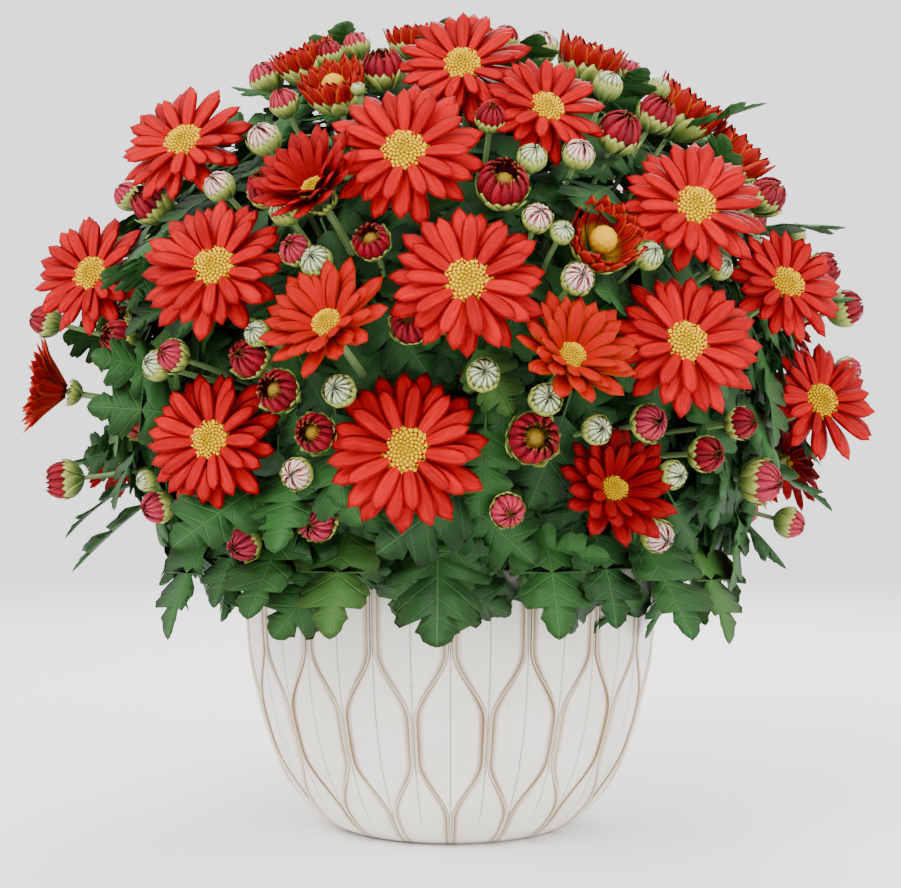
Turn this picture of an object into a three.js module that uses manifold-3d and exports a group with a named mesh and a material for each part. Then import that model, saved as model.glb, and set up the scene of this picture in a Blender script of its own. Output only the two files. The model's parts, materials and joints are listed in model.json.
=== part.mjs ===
// Potted chrysanthemum: a glazed pot with ogee panels, filled with soil, in which five
// rooted cuttings have grown into one dome of leaves, red blooms and buds.
// Millimetres, +Z up, the origin at the centre of the pot's foot, the front towards -Y.
// Azimuths are degrees round the pot's axis: 0 is the front, 90 is +X.

import * as THREE from 'three';
import { mergeVertices } from 'three/addons/utils/BufferGeometryUtils.js';
import Module from 'manifold-3d';

// Pot
const POT_HEIGHT = 114;
const RIM_RADIUS = 90;
const FOOT_RADIUS = 46;
const WALL = 4.5;
const FLOOR = 7;
const PANELS = 18;
const LIP_SPACING = 2.6;
const LIP_WIDTH = 1.5;
const LIP_HEIGHT = 1.1;
const PANEL_CROWN = 0.7;
const PANEL_ROWS = { split: 82, wideTop: 55, wideBottom: 38, join: 13.5 };
const POT_LEVELS = [0, 5, 13.5, 38, 55, 68, 82, POT_HEIGHT];
const INSIDE_LEVELS = [FLOOR, 16, 36, 66, POT_HEIGHT + 1];
const INSIDE_SIDES = 24;
const FLOOR_CURVE = 8;

// Soil
const SOIL_EDGE = 101;
const SOIL_CROWN = 4;
const CRUMB = 1.2;
const SOIL_RINGS = [78, 54, 28];

// Dome of the plant
const DOME_RADIUS = 165;
const DOME_WAIST = 215;
const DOME_RISE = 130;
const DOME_DROP = 140;

// Cuttings: each fills its own wedge of the dome, round a core of close foliage that its
// blooms, buds and leaves stand out of.
const CUTTINGS = 5;
const FIRST_CUTTING = -27;
const CUTTING_RING = 28;
const ROOT_HEIGHT = 86;
const CORE_SCALE = 0.88;
const CORE_CENTRE = 200;
const WEDGE_GAP = 0.5;
// The core's surface is shingled with leaves: heights between which each row of them
// hangs, columns of half a leaf each, and how far tips and bases lie from the surface.
const SHINGLE_LEVELS = [343, 326, 298, 260, 220, 180, 142, 104];
const SHINGLE_COLUMNS = 6;
const SHINGLE_TIP = 1.05;
const SHINGLE_BASE = 0.9;
const SHINGLE_OVERHANG = 3;
const SHINGLE_ROUGHNESS = 0.05;

// Stems
const TRUNK_RADIUS = 3.4;
const TRUNK_SIDES = 6;
const TRUNK_TOP = 130;
const STEM_RADIUS = 1.4;
const BUD_STEM_RADIUS = 0.9;
const STEM_SIDES = 3;
const STEM_START = 0.62;
const STEM_DROP = 8;
const CUP_RADIUS = 5;
const CUP_HEIGHT = 4.5;
const GAP = 0.3;

// Blooms: azimuth, distance from the axis, height, diameter, then the azimuth and
// elevation that the bloom faces.
const OPEN_BLOOMS = [
  [2, 119, 305, 47, -13, 54],
  [15, 138, 284, 43, 34, 48],
  [-47, 143, 281, 50, -46, 49],
  [-6, 154, 263, 51, -3, 41],
  [34, 160, 248, 51, 28, 43],
  [-31, 165, 224, 50, -28, 39],
  [-63, 164, 233, 48, -50, 32],
  [2, 165, 215, 51, 2, 30],
  [53, 164, 225, 45, 48, 36],
  [31, 164, 197, 51, 26, 33],
  [74, 164, 184, 49, 51, 26],
  [-36, 152, 163, 49, -41, 19],
  [-6, 151, 158, 53, -7, 22],
];
const CUPPED_BLOOMS = [
  [-18, 155, 249, 34, -40, 43],
  [-15, 164, 200, 40, -36, 39],
  [15, 161, 189, 38, 30, 36],
  [25, 140, 144, 38, 23, 24],
  [-76, 171, 188, 34, -72, 10],
];
// Behind and on the crown
const BACK_BLOOMS = [
  [104, 163, 232, 48],
  [129, 165, 202, 49],
  [152, 163, 236, 50],
  [178, 164, 200, 48],
  [-157, 163, 238, 49],
  [-133, 165, 200, 50],
  [-106, 163, 236, 48],
  [165, 76, 328, 48, 165, 66],
];
// Two blooms side by side that face alike, their petals grown into each other: the row
// gives the place between them.
const BACK_PAIRS = [
  [105, 157, 162, 46, 105, 24],
  [154, 155, 157, 46, 154, 22],
  [-161, 155, 160, 46, -161, 23],
  [-109, 157, 164, 46, -109, 24],
  [128, 135, 290, 46, 128, 48],
  [-140, 135, 290, 46, -140, 48],
];
const PAIR_SPACING = 37;

// Buds: azimuth, height, thickness, and how far they stand out of the dome.
const BUDS = [
  [-52, 316, 14], [-34, 322, 11], [-29, 290, 11], [-29, 273, 12], [-34, 255, 11], [-26, 252, 14],
  [-68, 268, 12], [-53, 258, 17], [-20, 227, 11], [-10, 229, 13], [-5, 200, 14],
  [-73, 216, 13, 18], [-55, 204, 14], [26, 324, 13], [48, 320, 12], [39, 290, 15], [27, 276, 16],
  [6, 277, 11], [18, 263, 11], [16, 216, 11], [58, 263, 12], [68, 268, 16], [66, 286, 16],
  [60, 304, 18], [72, 238, 14, 9],
  [74, 222, 15, 15], [-40, 193, 12], [-27, 190, 14], [-23, 178, 15], [-51, 173, 18],
  [-75, 150, 16, 20], [-52, 138, 13], [-18, 163, 14], [4, 182, 11], [11, 161, 18],
  [27, 167, 13], [44, 169, 12], [38, 157, 13], [56, 148, 17], [85, 199, 12, 17], [75, 132, 13, 8],
  [-35, 124, 13], [-20, 132, 14], [8, 136, 12], [34, 127, 12],
];

// Bud: how far along its facing, in thicknesses, its stem ends and its rings and tip lie,
// and the second ring's share of its width.
const BUD_STEM_END = -0.6;
const BUD_RINGS = [-0.1, 0.32];
const BUD_TIP = 0.62;
const BUD_SHOULDER = 0.36;
const BUD_LEVEL = 0.8;
const BUD_LIFT = 12;
// Rows of buds behind: height and number; the widest spread of azimuths that they take.
const BACK_BUD_ROWS = [[308, 3], [266, 4], [218, 4], [180, 3]];
const BACK_BUD_START = 96;
const BACK_BUD_SPREAD = 170;

// Petals
const PETALS = 8;
const PETALS_BEHIND = 7;
const PETALS_CUPPED = 6;
const PETAL_THICKNESS = 1.1;
const PETAL_WIDTH = 0.18;
const PETAL_BASE = 0.85;
const SHOULDER = 0.76;
const PAIRED_DISC_RISE = 3;
const CORE_THICKNESS = 2.4;
const EDGE_RISE = 0.5;
const TIP_DROP = 0.4;
const SLOT_SHARE = 0.2;
const LAYER_STEP = 1;
const OPEN_LIFT = 4;
const LAYER_LIFT = 11;
const UPPER_REACH = 0.94;
// Petal length of a bloom that isn't flat open: half open, and hardly open under a width.
const HALF_OPEN_REACH = 23;
const BARELY_OPEN_REACH = 19.3;
const BARELY_OPEN_WIDTH = 32;
const DISC_SIDES = 8;
const DISC_SHARE = 0.135;
const DISC_CROWN = 0.55;
const DISC_RISE = 2;
const DIMPLE_RISE = 0.9;
const DISC_HEIGHT = 3.5;
const BACK_TIP = 20;

// Leaves
const LEAF_THICKNESS = 1.1;
const PETIOLE_WIDTH = 1.8;
// Skirt leaves over the rim: azimuth, tip radius, tip height, length, width.
const SKIRT_LEAVES = [
  [-92, 178, 159, 44, 28], [-81, 166, 134, 40, 26], [-73, 160, 115, 46, 30], [-56, 140, 98, 48, 32],
  [-43, 134, 108, 36, 26], [-31, 140, 102, 48, 30], [-19, 138, 101, 44, 30], [-2, 140, 98, 50, 33],
  [17, 138, 101, 44, 30], [27, 137, 103, 40, 27], [38, 142, 94, 48, 31], [54, 140, 96, 46, 30],
  [71, 146, 120, 42, 28], [90, 168, 146, 42, 28], [103, 142, 104, 46, 30], [119, 144, 98, 46, 31],
  [140, 144, 104, 46, 30], [160, 142, 100, 48, 31], [178, 148, 110, 42, 28],
  [-164, 140, 97, 46, 31], [-145, 144, 104, 44, 29],
  [-126, 142, 100, 48, 32], [-109, 148, 110, 44, 29],
];
// Rows of leaves that cover the core: height and number round the plant. Their blades
// and their stalks start at these shares of the dome.
const LEAF_ROWS = [[142, 8], [176, 8], [210, 8], [244, 8], [278, 7], [308, 6], [330, 5]];
const LEAF_START = 0.81;
const STALK_START = 0.7;
const LEAF_TRIES = 9;
const LEAF_SPACING = 10;
const STEM_SPACING = 5;
const LEAF_LENGTH = 40;
const LEAF_WIDTH = 0.68;
const LEAF_OUTWARD = 0.7;
const LEAF_HANG = 0.3;
const SKIRT_FOLD = -0.15;
const SKIRT_DROOP = 0.12;

const wasm = await Module();
wasm.setup();

const up = new THREE.Vector3(0, 0, 1);
const radians = THREE.MathUtils.degToRad;

// Small seeded generator, so that every build gives the same plant.
function seeded(seed) {
  let state = seed;
  return () => {
    state = (state * 16807) % 2147483647;
    return state / 2147483647;
  };
}

// Point at an azimuth, a distance from the axis and a height.
function place(azimuth, radius, height) {
  const a = radians(azimuth);
  return new THREE.Vector3(radius * Math.sin(a), -radius * Math.cos(a), height);
}

function facing(azimuth, elevation) {
  const e = radians(elevation);
  return place(azimuth, Math.cos(e), Math.sin(e));
}

function domeRadius(height) {
  if (height >= DOME_WAIST) {
    const u = Math.min((height - DOME_WAIST) / DOME_RISE, 1);
    return DOME_RADIUS * Math.sqrt(1 - u * u);
  }
  const u = (DOME_WAIST - height) / DOME_DROP;
  return DOME_RADIUS * Math.sqrt(1 - u ** 3);
}

// Elevation of the dome's outward direction at a height.
function domeTilt(height) {
  const step = 2;
  const slope = (domeRadius(height - step) - domeRadius(height + step)) / (2 * step);
  return THREE.MathUtils.radToDeg(Math.atan(slope));
}

// Closed solid from points and triangles.
function solid(points, triangles) {
  return new wasm.Manifold(new wasm.Mesh({
    numProp: 3,
    vertProperties: new Float32Array(points.flatMap((p) => [p.x, p.y, p.z])),
    triVerts: new Uint32Array(triangles.flat()),
  }));
}

function solidOf(geometry) {
  const bare = geometry.clone();
  bare.deleteAttribute('normal');
  bare.deleteAttribute('uv');
  const merged = mergeVertices(bare, 1e-4);
  return new wasm.Manifold(new wasm.Mesh({
    numProp: 3,
    vertProperties: new Float32Array(merged.attributes.position.array),
    triVerts: new Uint32Array(merged.index.array),
  }));
}

function geometryOf(body) {
  const mesh = body.getMesh();
  const geometry = new THREE.BufferGeometry();
  const positions = new Float32Array(mesh.numVert * 3);
  for (let i = 0; i < mesh.numVert; i++) {
    for (let k = 0; k < 3; k++) {
      positions[3 * i + k] = mesh.vertProperties[mesh.numProp * i + k];
    }
  }
  geometry.setAttribute('position', new THREE.BufferAttribute(positions, 3));
  geometry.setIndex(new THREE.BufferAttribute(new Uint32Array(mesh.triVerts), 1));
  return geometry;
}

function joined(bodies) {
  return bodies.reduce((whole, body) => whole.add(body));
}

// Axes at a point: z along the given direction, x level.
function frameAt(origin, direction) {
  const z = direction.clone().normalize();
  const level = Math.abs(z.z) > 0.98 ? new THREE.Vector3(1, 0, 0) : up;
  const x = new THREE.Vector3().crossVectors(level, z).normalize();
  const y = new THREE.Vector3().crossVectors(z, x);
  return new THREE.Matrix4().makeBasis(x, y, z).setPosition(origin);
}

// Solid swept through points with a radius at each. From the head's first point on, its
// rings have twice as many sides; a last radius of 0 makes a tip.
function sweep(points, radii, sides, head = points.length) {
  const vertices = [];
  const triangles = [];
  const tipped = radii.at(-1) === 0;
  const rings = [];
  let across = null;
  points.slice(0, tipped ? -1 : undefined).forEach((point, i) => {
    const before = points[Math.max(i - 1, 0)];
    const after = points[Math.min(i + 1, points.length - 1)];
    const along = after.clone().sub(before).normalize();
    const level = Math.abs(along.z) > 0.9 ? new THREE.Vector3(1, 0, 0) : up;
    across = across ?? new THREE.Vector3().crossVectors(along, level);
    across.addScaledVector(along, -across.dot(along)).normalize();
    const other = new THREE.Vector3().crossVectors(along, across);
    const count = i < head ? sides : 2 * sides;
    rings.push(Array.from({ length: count }, (_, s) => {
      const a = (2 * Math.PI * s) / count;
      const spoke = across.clone().multiplyScalar(Math.cos(a)).addScaledVector(other, Math.sin(a));
      return vertices.push(point.clone().addScaledVector(spoke, radii[i])) - 1;
    }));
  });
  const fan = (ring, flip) => {
    for (let s = 1; s < ring.length - 1; s++) {
      triangles.push(flip ? [ring[0], ring[s + 1], ring[s]] : [ring[0], ring[s], ring[s + 1]]);
    }
  };
  fan(rings[0], true);
  for (let i = 1; i < rings.length; i++) {
    const [low, high] = [rings[i - 1], rings[i]];
    const step = high.length / low.length;
    low.forEach((corner, s) => {
      const next = low[(s + 1) % low.length];
      const above = (k) => high[(step * s + k) % high.length];
      triangles.push([corner, above(step), above(step - 1)], [corner, next, above(step)]);
      if (step === 2) {
        triangles.push([corner, above(1), above(0)]);
      }
    });
  }
  if (tipped) {
    const tip = vertices.push(points.at(-1).clone()) - 1;
    rings.at(-1).forEach((corner, s, ring) => triangles.push([corner, ring[(s + 1) % ring.length], tip]));
  } else {
    fan(rings.at(-1), false);
  }
  return solid(vertices, triangles);
}

// The pot's outer radius, without its lips and panels.
function potRadius(height) {
  const u = 1 - height / POT_HEIGHT;
  return FOOT_RADIUS + (RIM_RADIUS - FOOT_RADIUS) * (1 - u ** 2.5) ** 0.6;
}

// Half of the angle between the two lips of a pair, in degrees: side by side at the rim
// and at the foot, and each beside its neighbour's lip at the waist of the pattern.
function lipAngle(height) {
  const near = THREE.MathUtils.radToDeg(LIP_SPACING / 2 / RIM_RADIUS);
  const far = 180 / PANELS - near;
  const { split, wideTop, wideBottom, join } = PANEL_ROWS;
  const out = THREE.MathUtils.smoothstep(height, join, wideBottom);
  const back = THREE.MathUtils.smoothstep(height, wideTop, split);
  return near + (far - near) * Math.min(out, 1 - back);
}

function pot() {
  const columns = 8;
  const half = 180 / PANELS;
  const count = PANELS * columns;
  const points = [];
  const triangles = [];
  for (const height of POT_LEVELS) {
    const lip = lipAngle(height);
    const width = THREE.MathUtils.radToDeg(LIP_WIDTH / 2 / RIM_RADIUS);
    const plain = height === 0 ? 0 : 1;
    for (let p = 0; p < PANELS; p++) {
      const offsets = [0, lip - width, lip, lip + width, half, 2 * half - lip - width,
        2 * half - lip, 2 * half - lip + width];
      offsets.forEach((offset, c) => {
        const isLip = c === 2 || c === 6;
        const panelWidth = c === 0 ? lip : half - lip;
        const crown = c % 4 === 0 ? (PANEL_CROWN * panelWidth) / half : 0;
        const relief = plain * (isLip ? LIP_HEIGHT : crown);
        points.push(place(2 * half * p + offset, potRadius(height) + relief, height));
      });
    }
  }
  for (let level = 0; level < POT_LEVELS.length - 1; level++) {
    for (let i = 0; i < count; i++) {
      const a = level * count + i;
      const b = level * count + ((i + 1) % count);
      triangles.push([a, b, b + count], [a, b + count, a + count]);
    }
  }
  const foot = points.push(new THREE.Vector3(0, 0, 0)) - 1;
  const rim = points.push(new THREE.Vector3(0, 0, POT_HEIGHT)) - 1;
  const last = (POT_LEVELS.length - 1) * count;
  for (let i = 0; i < count; i++) {
    const j = (i + 1) % count;
    triangles.push([foot, j, i], [rim, last + i, last + j]);
  }
  const inside = [[0, FLOOR]];
  for (const height of INSIDE_LEVELS) {
    inside.push([insideRadius(height), height]);
  }
  inside.push([0, INSIDE_LEVELS.at(-1)]);
  return solid(points, triangles).subtract(turned(inside, INSIDE_SIDES));
}

// Radius of the pot's inside: straight stretches between its levels, a curve at the floor.
function insideRadius(height) {
  const at = (level) => {
    const curve = level === FLOOR ? FLOOR_CURVE : 0;
    return potRadius(Math.min(level, POT_HEIGHT)) - WALL - curve;
  };
  const above = INSIDE_LEVELS.findIndex((level) => level >= height);
  if (above < 1) {
    return at(INSIDE_LEVELS[0]);
  }
  const [low, high] = [INSIDE_LEVELS[above - 1], INSIDE_LEVELS[above]];
  return THREE.MathUtils.mapLinear(height, low, high, at(low), at(high));
}

// Solid of revolution round the vertical axis.
function turned(profile, segments) {
  const outline = profile.map(([r, z]) => new THREE.Vector2(r, z));
  return solidOf(new THREE.LatheGeometry(outline, segments).rotateX(Math.PI / 2));
}

// Height of the soil's top: a low mound with crumbs on it.
function soilHeight(x, y) {
  const mound = SOIL_CROWN * (1 - (x * x + y * y) / RIM_RADIUS ** 2);
  const crumbs = Math.sin(0.31 * x + 1.7) * Math.cos(0.27 * y) + Math.sin(0.19 * x - 0.42 * y);
  return SOIL_EDGE + mound + (CRUMB / 2) * crumbs;
}

function soil(roots) {
  const segments = INSIDE_SIDES;
  const walls = [FLOOR + GAP, ...INSIDE_LEVELS.slice(1, -1), SOIL_EDGE];
  const points = [];
  const triangles = [];
  const ring = (radius, height) => {
    for (let s = 0; s < segments; s++) {
      const p = place((360 * s) / segments, radius, 0);
      p.z = height === null ? soilHeight(p.x, p.y) : height;
      points.push(p);
    }
  };
  for (const height of walls) {
    ring(insideRadius(height) - 2 * GAP, height);
  }
  for (const radius of SOIL_RINGS) {
    ring(radius, null);
  }
  const rings = points.length / segments;
  for (let r = 0; r < rings - 1; r++) {
    for (let s = 0; s < segments; s++) {
      const a = r * segments + s;
      const b = r * segments + ((s + 1) % segments);
      triangles.push([a, b, b + segments], [a, b + segments, a + segments]);
    }
  }
  const bottom = points.push(new THREE.Vector3(0, 0, FLOOR + GAP)) - 1;
  const top = points.push(new THREE.Vector3(0, 0, soilHeight(0, 0))) - 1;
  const last = (rings - 1) * segments;
  for (let s = 0; s < segments; s++) {
    const t = (s + 1) % segments;
    triangles.push([bottom, t, s], [top, last + s, last + t]);
  }
  const holes = roots.map((root) => {
    const ends = [root.clone().setZ(ROOT_HEIGHT - GAP), root.clone().setZ(POT_HEIGHT)];
    return sweep(ends, [TRUNK_RADIUS + 2 * GAP, TRUNK_RADIUS + 2 * GAP], TRUNK_SIDES);
  });
  return holes.reduce((body, hole) => body.subtract(hole), solid(points, triangles));
}

// A bloom's measures in its own axes: z along its facing, 0 at the core. How far its
// petals are lifted comes from how much narrower it is than a fully open one.
function bloomShape(diameter, open, petals = PETALS) {
  const longest = diameter > BARELY_OPEN_WIDTH ? HALF_OPEN_REACH : BARELY_OPEN_REACH;
  const reach = open ? diameter / 2 : Math.max(diameter / 2, longest);
  const lift = open ? OPEN_LIFT : THREE.MathUtils.radToDeg(Math.acos(diameter / 2 / reach));
  return {
    reach,
    disc: open ? DISC_SHARE * diameter : 0,
    layers: [
      { height: 0, lift, reach, count: petals },
      { height: LAYER_STEP, lift: lift + LAYER_LIFT, reach: UPPER_REACH * reach, count: petals },
    ],
  };
}

// Both layers of petals as one closed body: each layer is a star of keeled petals with
// knife edges, and the slot between the layers ends at a ring round the core.
function petals(bloom, spin) {
  const { layers } = bloomShape(bloom.diameter, bloom.open, bloom.petals);
  const points = [];
  const triangles = [];
  const put = (angle, along, aside, layer, rise) => {
    const r = along * Math.cos(radians(layer.lift));
    const x = r * Math.cos(angle) - aside * Math.sin(angle);
    const y = r * Math.sin(angle) + aside * Math.cos(angle);
    const z = layer.height + along * Math.sin(radians(layer.lift)) + rise;
    return points.push(new THREE.Vector3(x, y, z).applyMatrix4(bloom.frame)) - 1;
  };
  const { count } = layers[0];
  const turn = (2 * Math.PI) / count;
  const core = [put(0, 0, 0, layers[0], -CORE_THICKNESS / 2), put(0, 0, 0, layers[1], CORE_THICKNESS / 2)];
  const deep = SLOT_SHARE * layers[0].reach;
  const [lowSlope, highSlope] = layers.map((layer) => Math.sin(radians(layer.lift)));
  const halfway = (layers[1].height + deep * (highSlope - lowSlope)) / 2;
  const slot = Array.from({ length: 2 * count }, (_, i) => (
    put(spin + (i * turn) / 2, deep, 0, layers[0], halfway)));
  layers.forEach((layer, level) => {
    const wide = PETAL_WIDTH * layer.reach;
    const valley = (PETAL_BASE * wide) / Math.sin(turn / 2);
    const shoulder = SHOULDER * layer.reach;
    const outline = Array.from({ length: count }, (_, i) => {
      const a = spin + (i + level / 2) * turn;
      return {
        valley: put(a - turn / 2, valley, 0, layer, 0),
        right: put(a, shoulder, -wide, layer, EDGE_RISE),
        tip: put(a, layer.reach, 0, layer, -TIP_DROP),
        left: put(a, shoulder, wide, layer, EDGE_RISE),
        crest: put(a, shoulder, 0, layer, PETAL_THICKNESS / 2),
        keel: put(a, shoulder, 0, layer, -PETAL_THICKNESS / 2),
      };
    });
    outline.forEach((petal, i) => {
      const next = outline[(i + 1) % count].valley;
      const outer = (middle) => [
        [petal.valley, petal.right, middle], [petal.right, petal.tip, middle],
        [petal.tip, petal.left, middle], [petal.left, next, middle],
      ];
      const closed = (middle) => [[core[level], petal.valley, middle], [core[level], middle, next]];
      const ring = (k) => slot[(2 * i + level + k + 2 * count) % (2 * count)];
      const slotted = (middle) => [
        [ring(-1), petal.valley, middle], [ring(-1), middle, ring(0)],
        [ring(0), middle, ring(1)], [ring(1), middle, next],
      ];
      const above = level === 1 ? closed(petal.crest) : slotted(petal.crest);
      const below = level === 1 ? slotted(petal.keel) : closed(petal.keel);
      triangles.push(...above, ...outer(petal.crest));
      triangles.push(...[...below, ...outer(petal.keel)].map(([p, q, r]) => [p, r, q]));
    });
  });
  if (bloom.paired) {
    points[core[1]].addScaledVector(bloom.face, PAIRED_DISC_RISE);
  }
  return solid(points, triangles);
}

// Frame of a bloom's core, from its row and how far it lies to one side of that place.
function bloomFrame([azimuth, radius, height, diameter, faceAzimuth, faceElevation], aside = 0) {
  const face = facing(faceAzimuth ?? azimuth, faceElevation ?? domeTilt(height) + BACK_TIP);
  const level = new THREE.Vector3().crossVectors(up, face).normalize();
  const core = place(azimuth, radius, height)
    .addScaledVector(face, -DISC_HEIGHT)
    .addScaledVector(level, aside);
  return { core, face, frame: frameAt(core, face), diameter };
}

// Height of a layer's crest or keel at a radius, in the bloom's axes.
function layerHeight(layer, radius, side) {
  const slope = radians(layer.lift);
  const shoulder = SHOULDER * layer.reach;
  const reach = shoulder * Math.cos(slope);
  const ridge = shoulder * Math.sin(slope) + (side * PETAL_THICKNESS) / 2;
  const centre = (side * CORE_THICKNESS) / 2;
  return layer.height + centre + ((ridge - centre) * radius) / reach;
}

// Domed disc of florets with a dimple, lying just clear of the petals' core.
function disc(bloom) {
  const shape = bloomShape(bloom.diameter, true);
  const upper = shape.layers[1];
  const sides = DISC_SIDES;
  const points = [];
  const triangles = [];
  const add = (x, y, z) => points.push(new THREE.Vector3(x, y, z).applyMatrix4(bloom.frame)) - 1;
  const seat = layerHeight(upper, 0, 1) + GAP;
  const edge = layerHeight(upper, shape.disc, 1) + GAP;
  const bottom = add(0, 0, seat);
  const dimple = add(0, 0, edge + DIMPLE_RISE);
  const ring = (radius, z) => {
    for (let s = 0; s < sides; s++) {
      const a = (2 * Math.PI * s) / sides;
      add(radius * Math.cos(a), radius * Math.sin(a), z);
    }
  };
  ring(shape.disc, edge);
  ring(DISC_CROWN * shape.disc, edge + DISC_RISE);
  for (let s = 0; s < sides; s++) {
    const a = 2 + s;
    const b = 2 + ((s + 1) % sides);
    triangles.push([bottom, b, a], [a, b, b + sides], [a, b + sides, a + sides]);
    triangles.push([dimple, a + sides, b + sides]);
  }
  return solid(points, triangles);
}

// Stem of a bloom, widening into the green cup that carries the lowest petals.
function bloomStem(bloom) {
  const { open } = bloom;
  const lowest = bloomShape(bloom.diameter, open).layers[0];
  const seat = layerHeight(lowest, 0, -1) - GAP;
  const at = (z) => bloom.core.clone().addScaledVector(bloom.face, z);
  const path = stemPath(at(seat - CUP_HEIGHT), bloom.face);
  const radii = path.map(() => STEM_RADIUS);
  const body = sweep([...path, at(seat)], [...radii, CUP_RADIUS], STEM_SIDES, path.length);
  return { body, path };
}

// Azimuth, between -180 and 180, of a point as seen from another azimuth.
function azimuthFrom(point, azimuth) {
  const a = THREE.MathUtils.radToDeg(Math.atan2(point.x, -point.y)) - azimuth;
  return ((a + 540) % 360) - 180;
}

// The cutting whose wedge of the dome a point lies in.
function cuttingOf(point) {
  const step = 360 / CUTTINGS;
  for (let c = 0; c < CUTTINGS; c++) {
    if (Math.abs(azimuthFrom(point, FIRST_CUTTING + c * step)) <= step / 2) {
      return c;
    }
  }
  return 0;
}

// Distance from a point to the nearer side plane of a cutting's wedge.
function insideWedge(point, cutting) {
  const step = 360 / CUTTINGS;
  const a = azimuthFrom(point, FIRST_CUTTING + cutting * step);
  const r = Math.hypot(point.x, point.y);
  return r * Math.sin(radians(step / 2 - Math.abs(a)));
}

// A point of the dome drawn in towards its middle.
function drawnIn(point, scale) {
  const middle = new THREE.Vector3(0, 0, CORE_CENTRE);
  return point.clone().sub(middle).multiplyScalar(scale).add(middle);
}

// Core of close foliage of one cutting: its wedge of the dome, smaller, with hanging leaf
// tips over most of it. Every row of leaves is two rings, their bases and their tips.
function core(cutting, random) {
  const step = 360 / CUTTINGS;
  const middle = FIRST_CUTTING + cutting * step;
  const points = [];
  const triangles = [];
  const put = (column, height, share) => {
    const radius = CORE_SCALE * domeRadius(height) * share * (1 - SHINGLE_ROUGHNESS * random());
    const side = THREE.MathUtils.radToDeg(WEDGE_GAP / radius);
    const turn = (column / SHINGLE_COLUMNS - 0.5) * (step - 2 * side);
    const level = CORE_CENTRE + CORE_SCALE * (height - CORE_CENTRE);
    points.push(place(middle + turn, radius, level));
  };
  const ring = (row, tipHeight, otherHeight, tipShare) => {
    points.push(place(middle, 2 * WEDGE_GAP, CORE_CENTRE + CORE_SCALE * (tipHeight - CORE_CENTRE)));
    for (let column = 0; column <= SHINGLE_COLUMNS; column++) {
      const tip = column % 2 !== row % 2;
      put(column, tip ? tipHeight : otherHeight, tip ? tipShare : SHINGLE_BASE);
    }
  };
  const rows = SHINGLE_LEVELS.length - 1;
  for (let row = 0; row < rows; row++) {
    const [high, low] = [SHINGLE_LEVELS[row], SHINGLE_LEVELS[row + 1]];
    ring(row, high, high, SHINGLE_BASE);
    ring(row, low + SHINGLE_OVERHANG, (high + low) / 2, SHINGLE_TIP);
  }
  ring(rows, SHINGLE_LEVELS[rows], SHINGLE_LEVELS[rows], SHINGLE_BASE);
  const width = SHINGLE_COLUMNS + 2;
  for (let level = 0; level < 2 * rows; level++) {
    for (let i = 0; i < width; i++) {
      const a = level * width + i;
      const b = level * width + ((i + 1) % width);
      triangles.push([a, b + width, b], [a, a + width, b + width]);
    }
  }
  const last = 2 * rows * width;
  for (let i = 1; i < width - 1; i++) {
    triangles.push([0, i, i + 1], [last, last + i + 1, last + i]);
  }
  return solid(points, triangles);
}

// Foot of a cutting's trunk in the soil, and its top inside the core.
function trunkPoint(cutting, height) {
  return place(FIRST_CUTTING + (cutting * 360) / CUTTINGS, CUTTING_RING, height);
}

// Path of a stem from inside the core to the head that it carries.
function stemPath(end, face) {
  const start = drawnIn(end, STEM_START);
  start.z -= STEM_DROP;
  const bend = end.clone().addScaledVector(face, -0.5 * start.distanceTo(end));
  return [start, bend, end];
}

// A lobed leaf as one thin closed blade, widest past its middle, with two lobes a side,
// a tip, and a neck that is its stalk. Shares of its length along and its width aside.
const LEAF_EDGE = [
  [0, 0.03], [0.24, 0.03], [0.37, 0.4], [0.5, 0.18],
  [0.61, 0.46], [0.77, 0.42], [0.82, 0.17],
];
const LEAF_RIB = [0, 0.24, 0.46, 0.72];
// Which rib point each edge point fans to.
const LEAF_FAN = [0, 1, 1, 2, 2, 3, 3];

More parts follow.
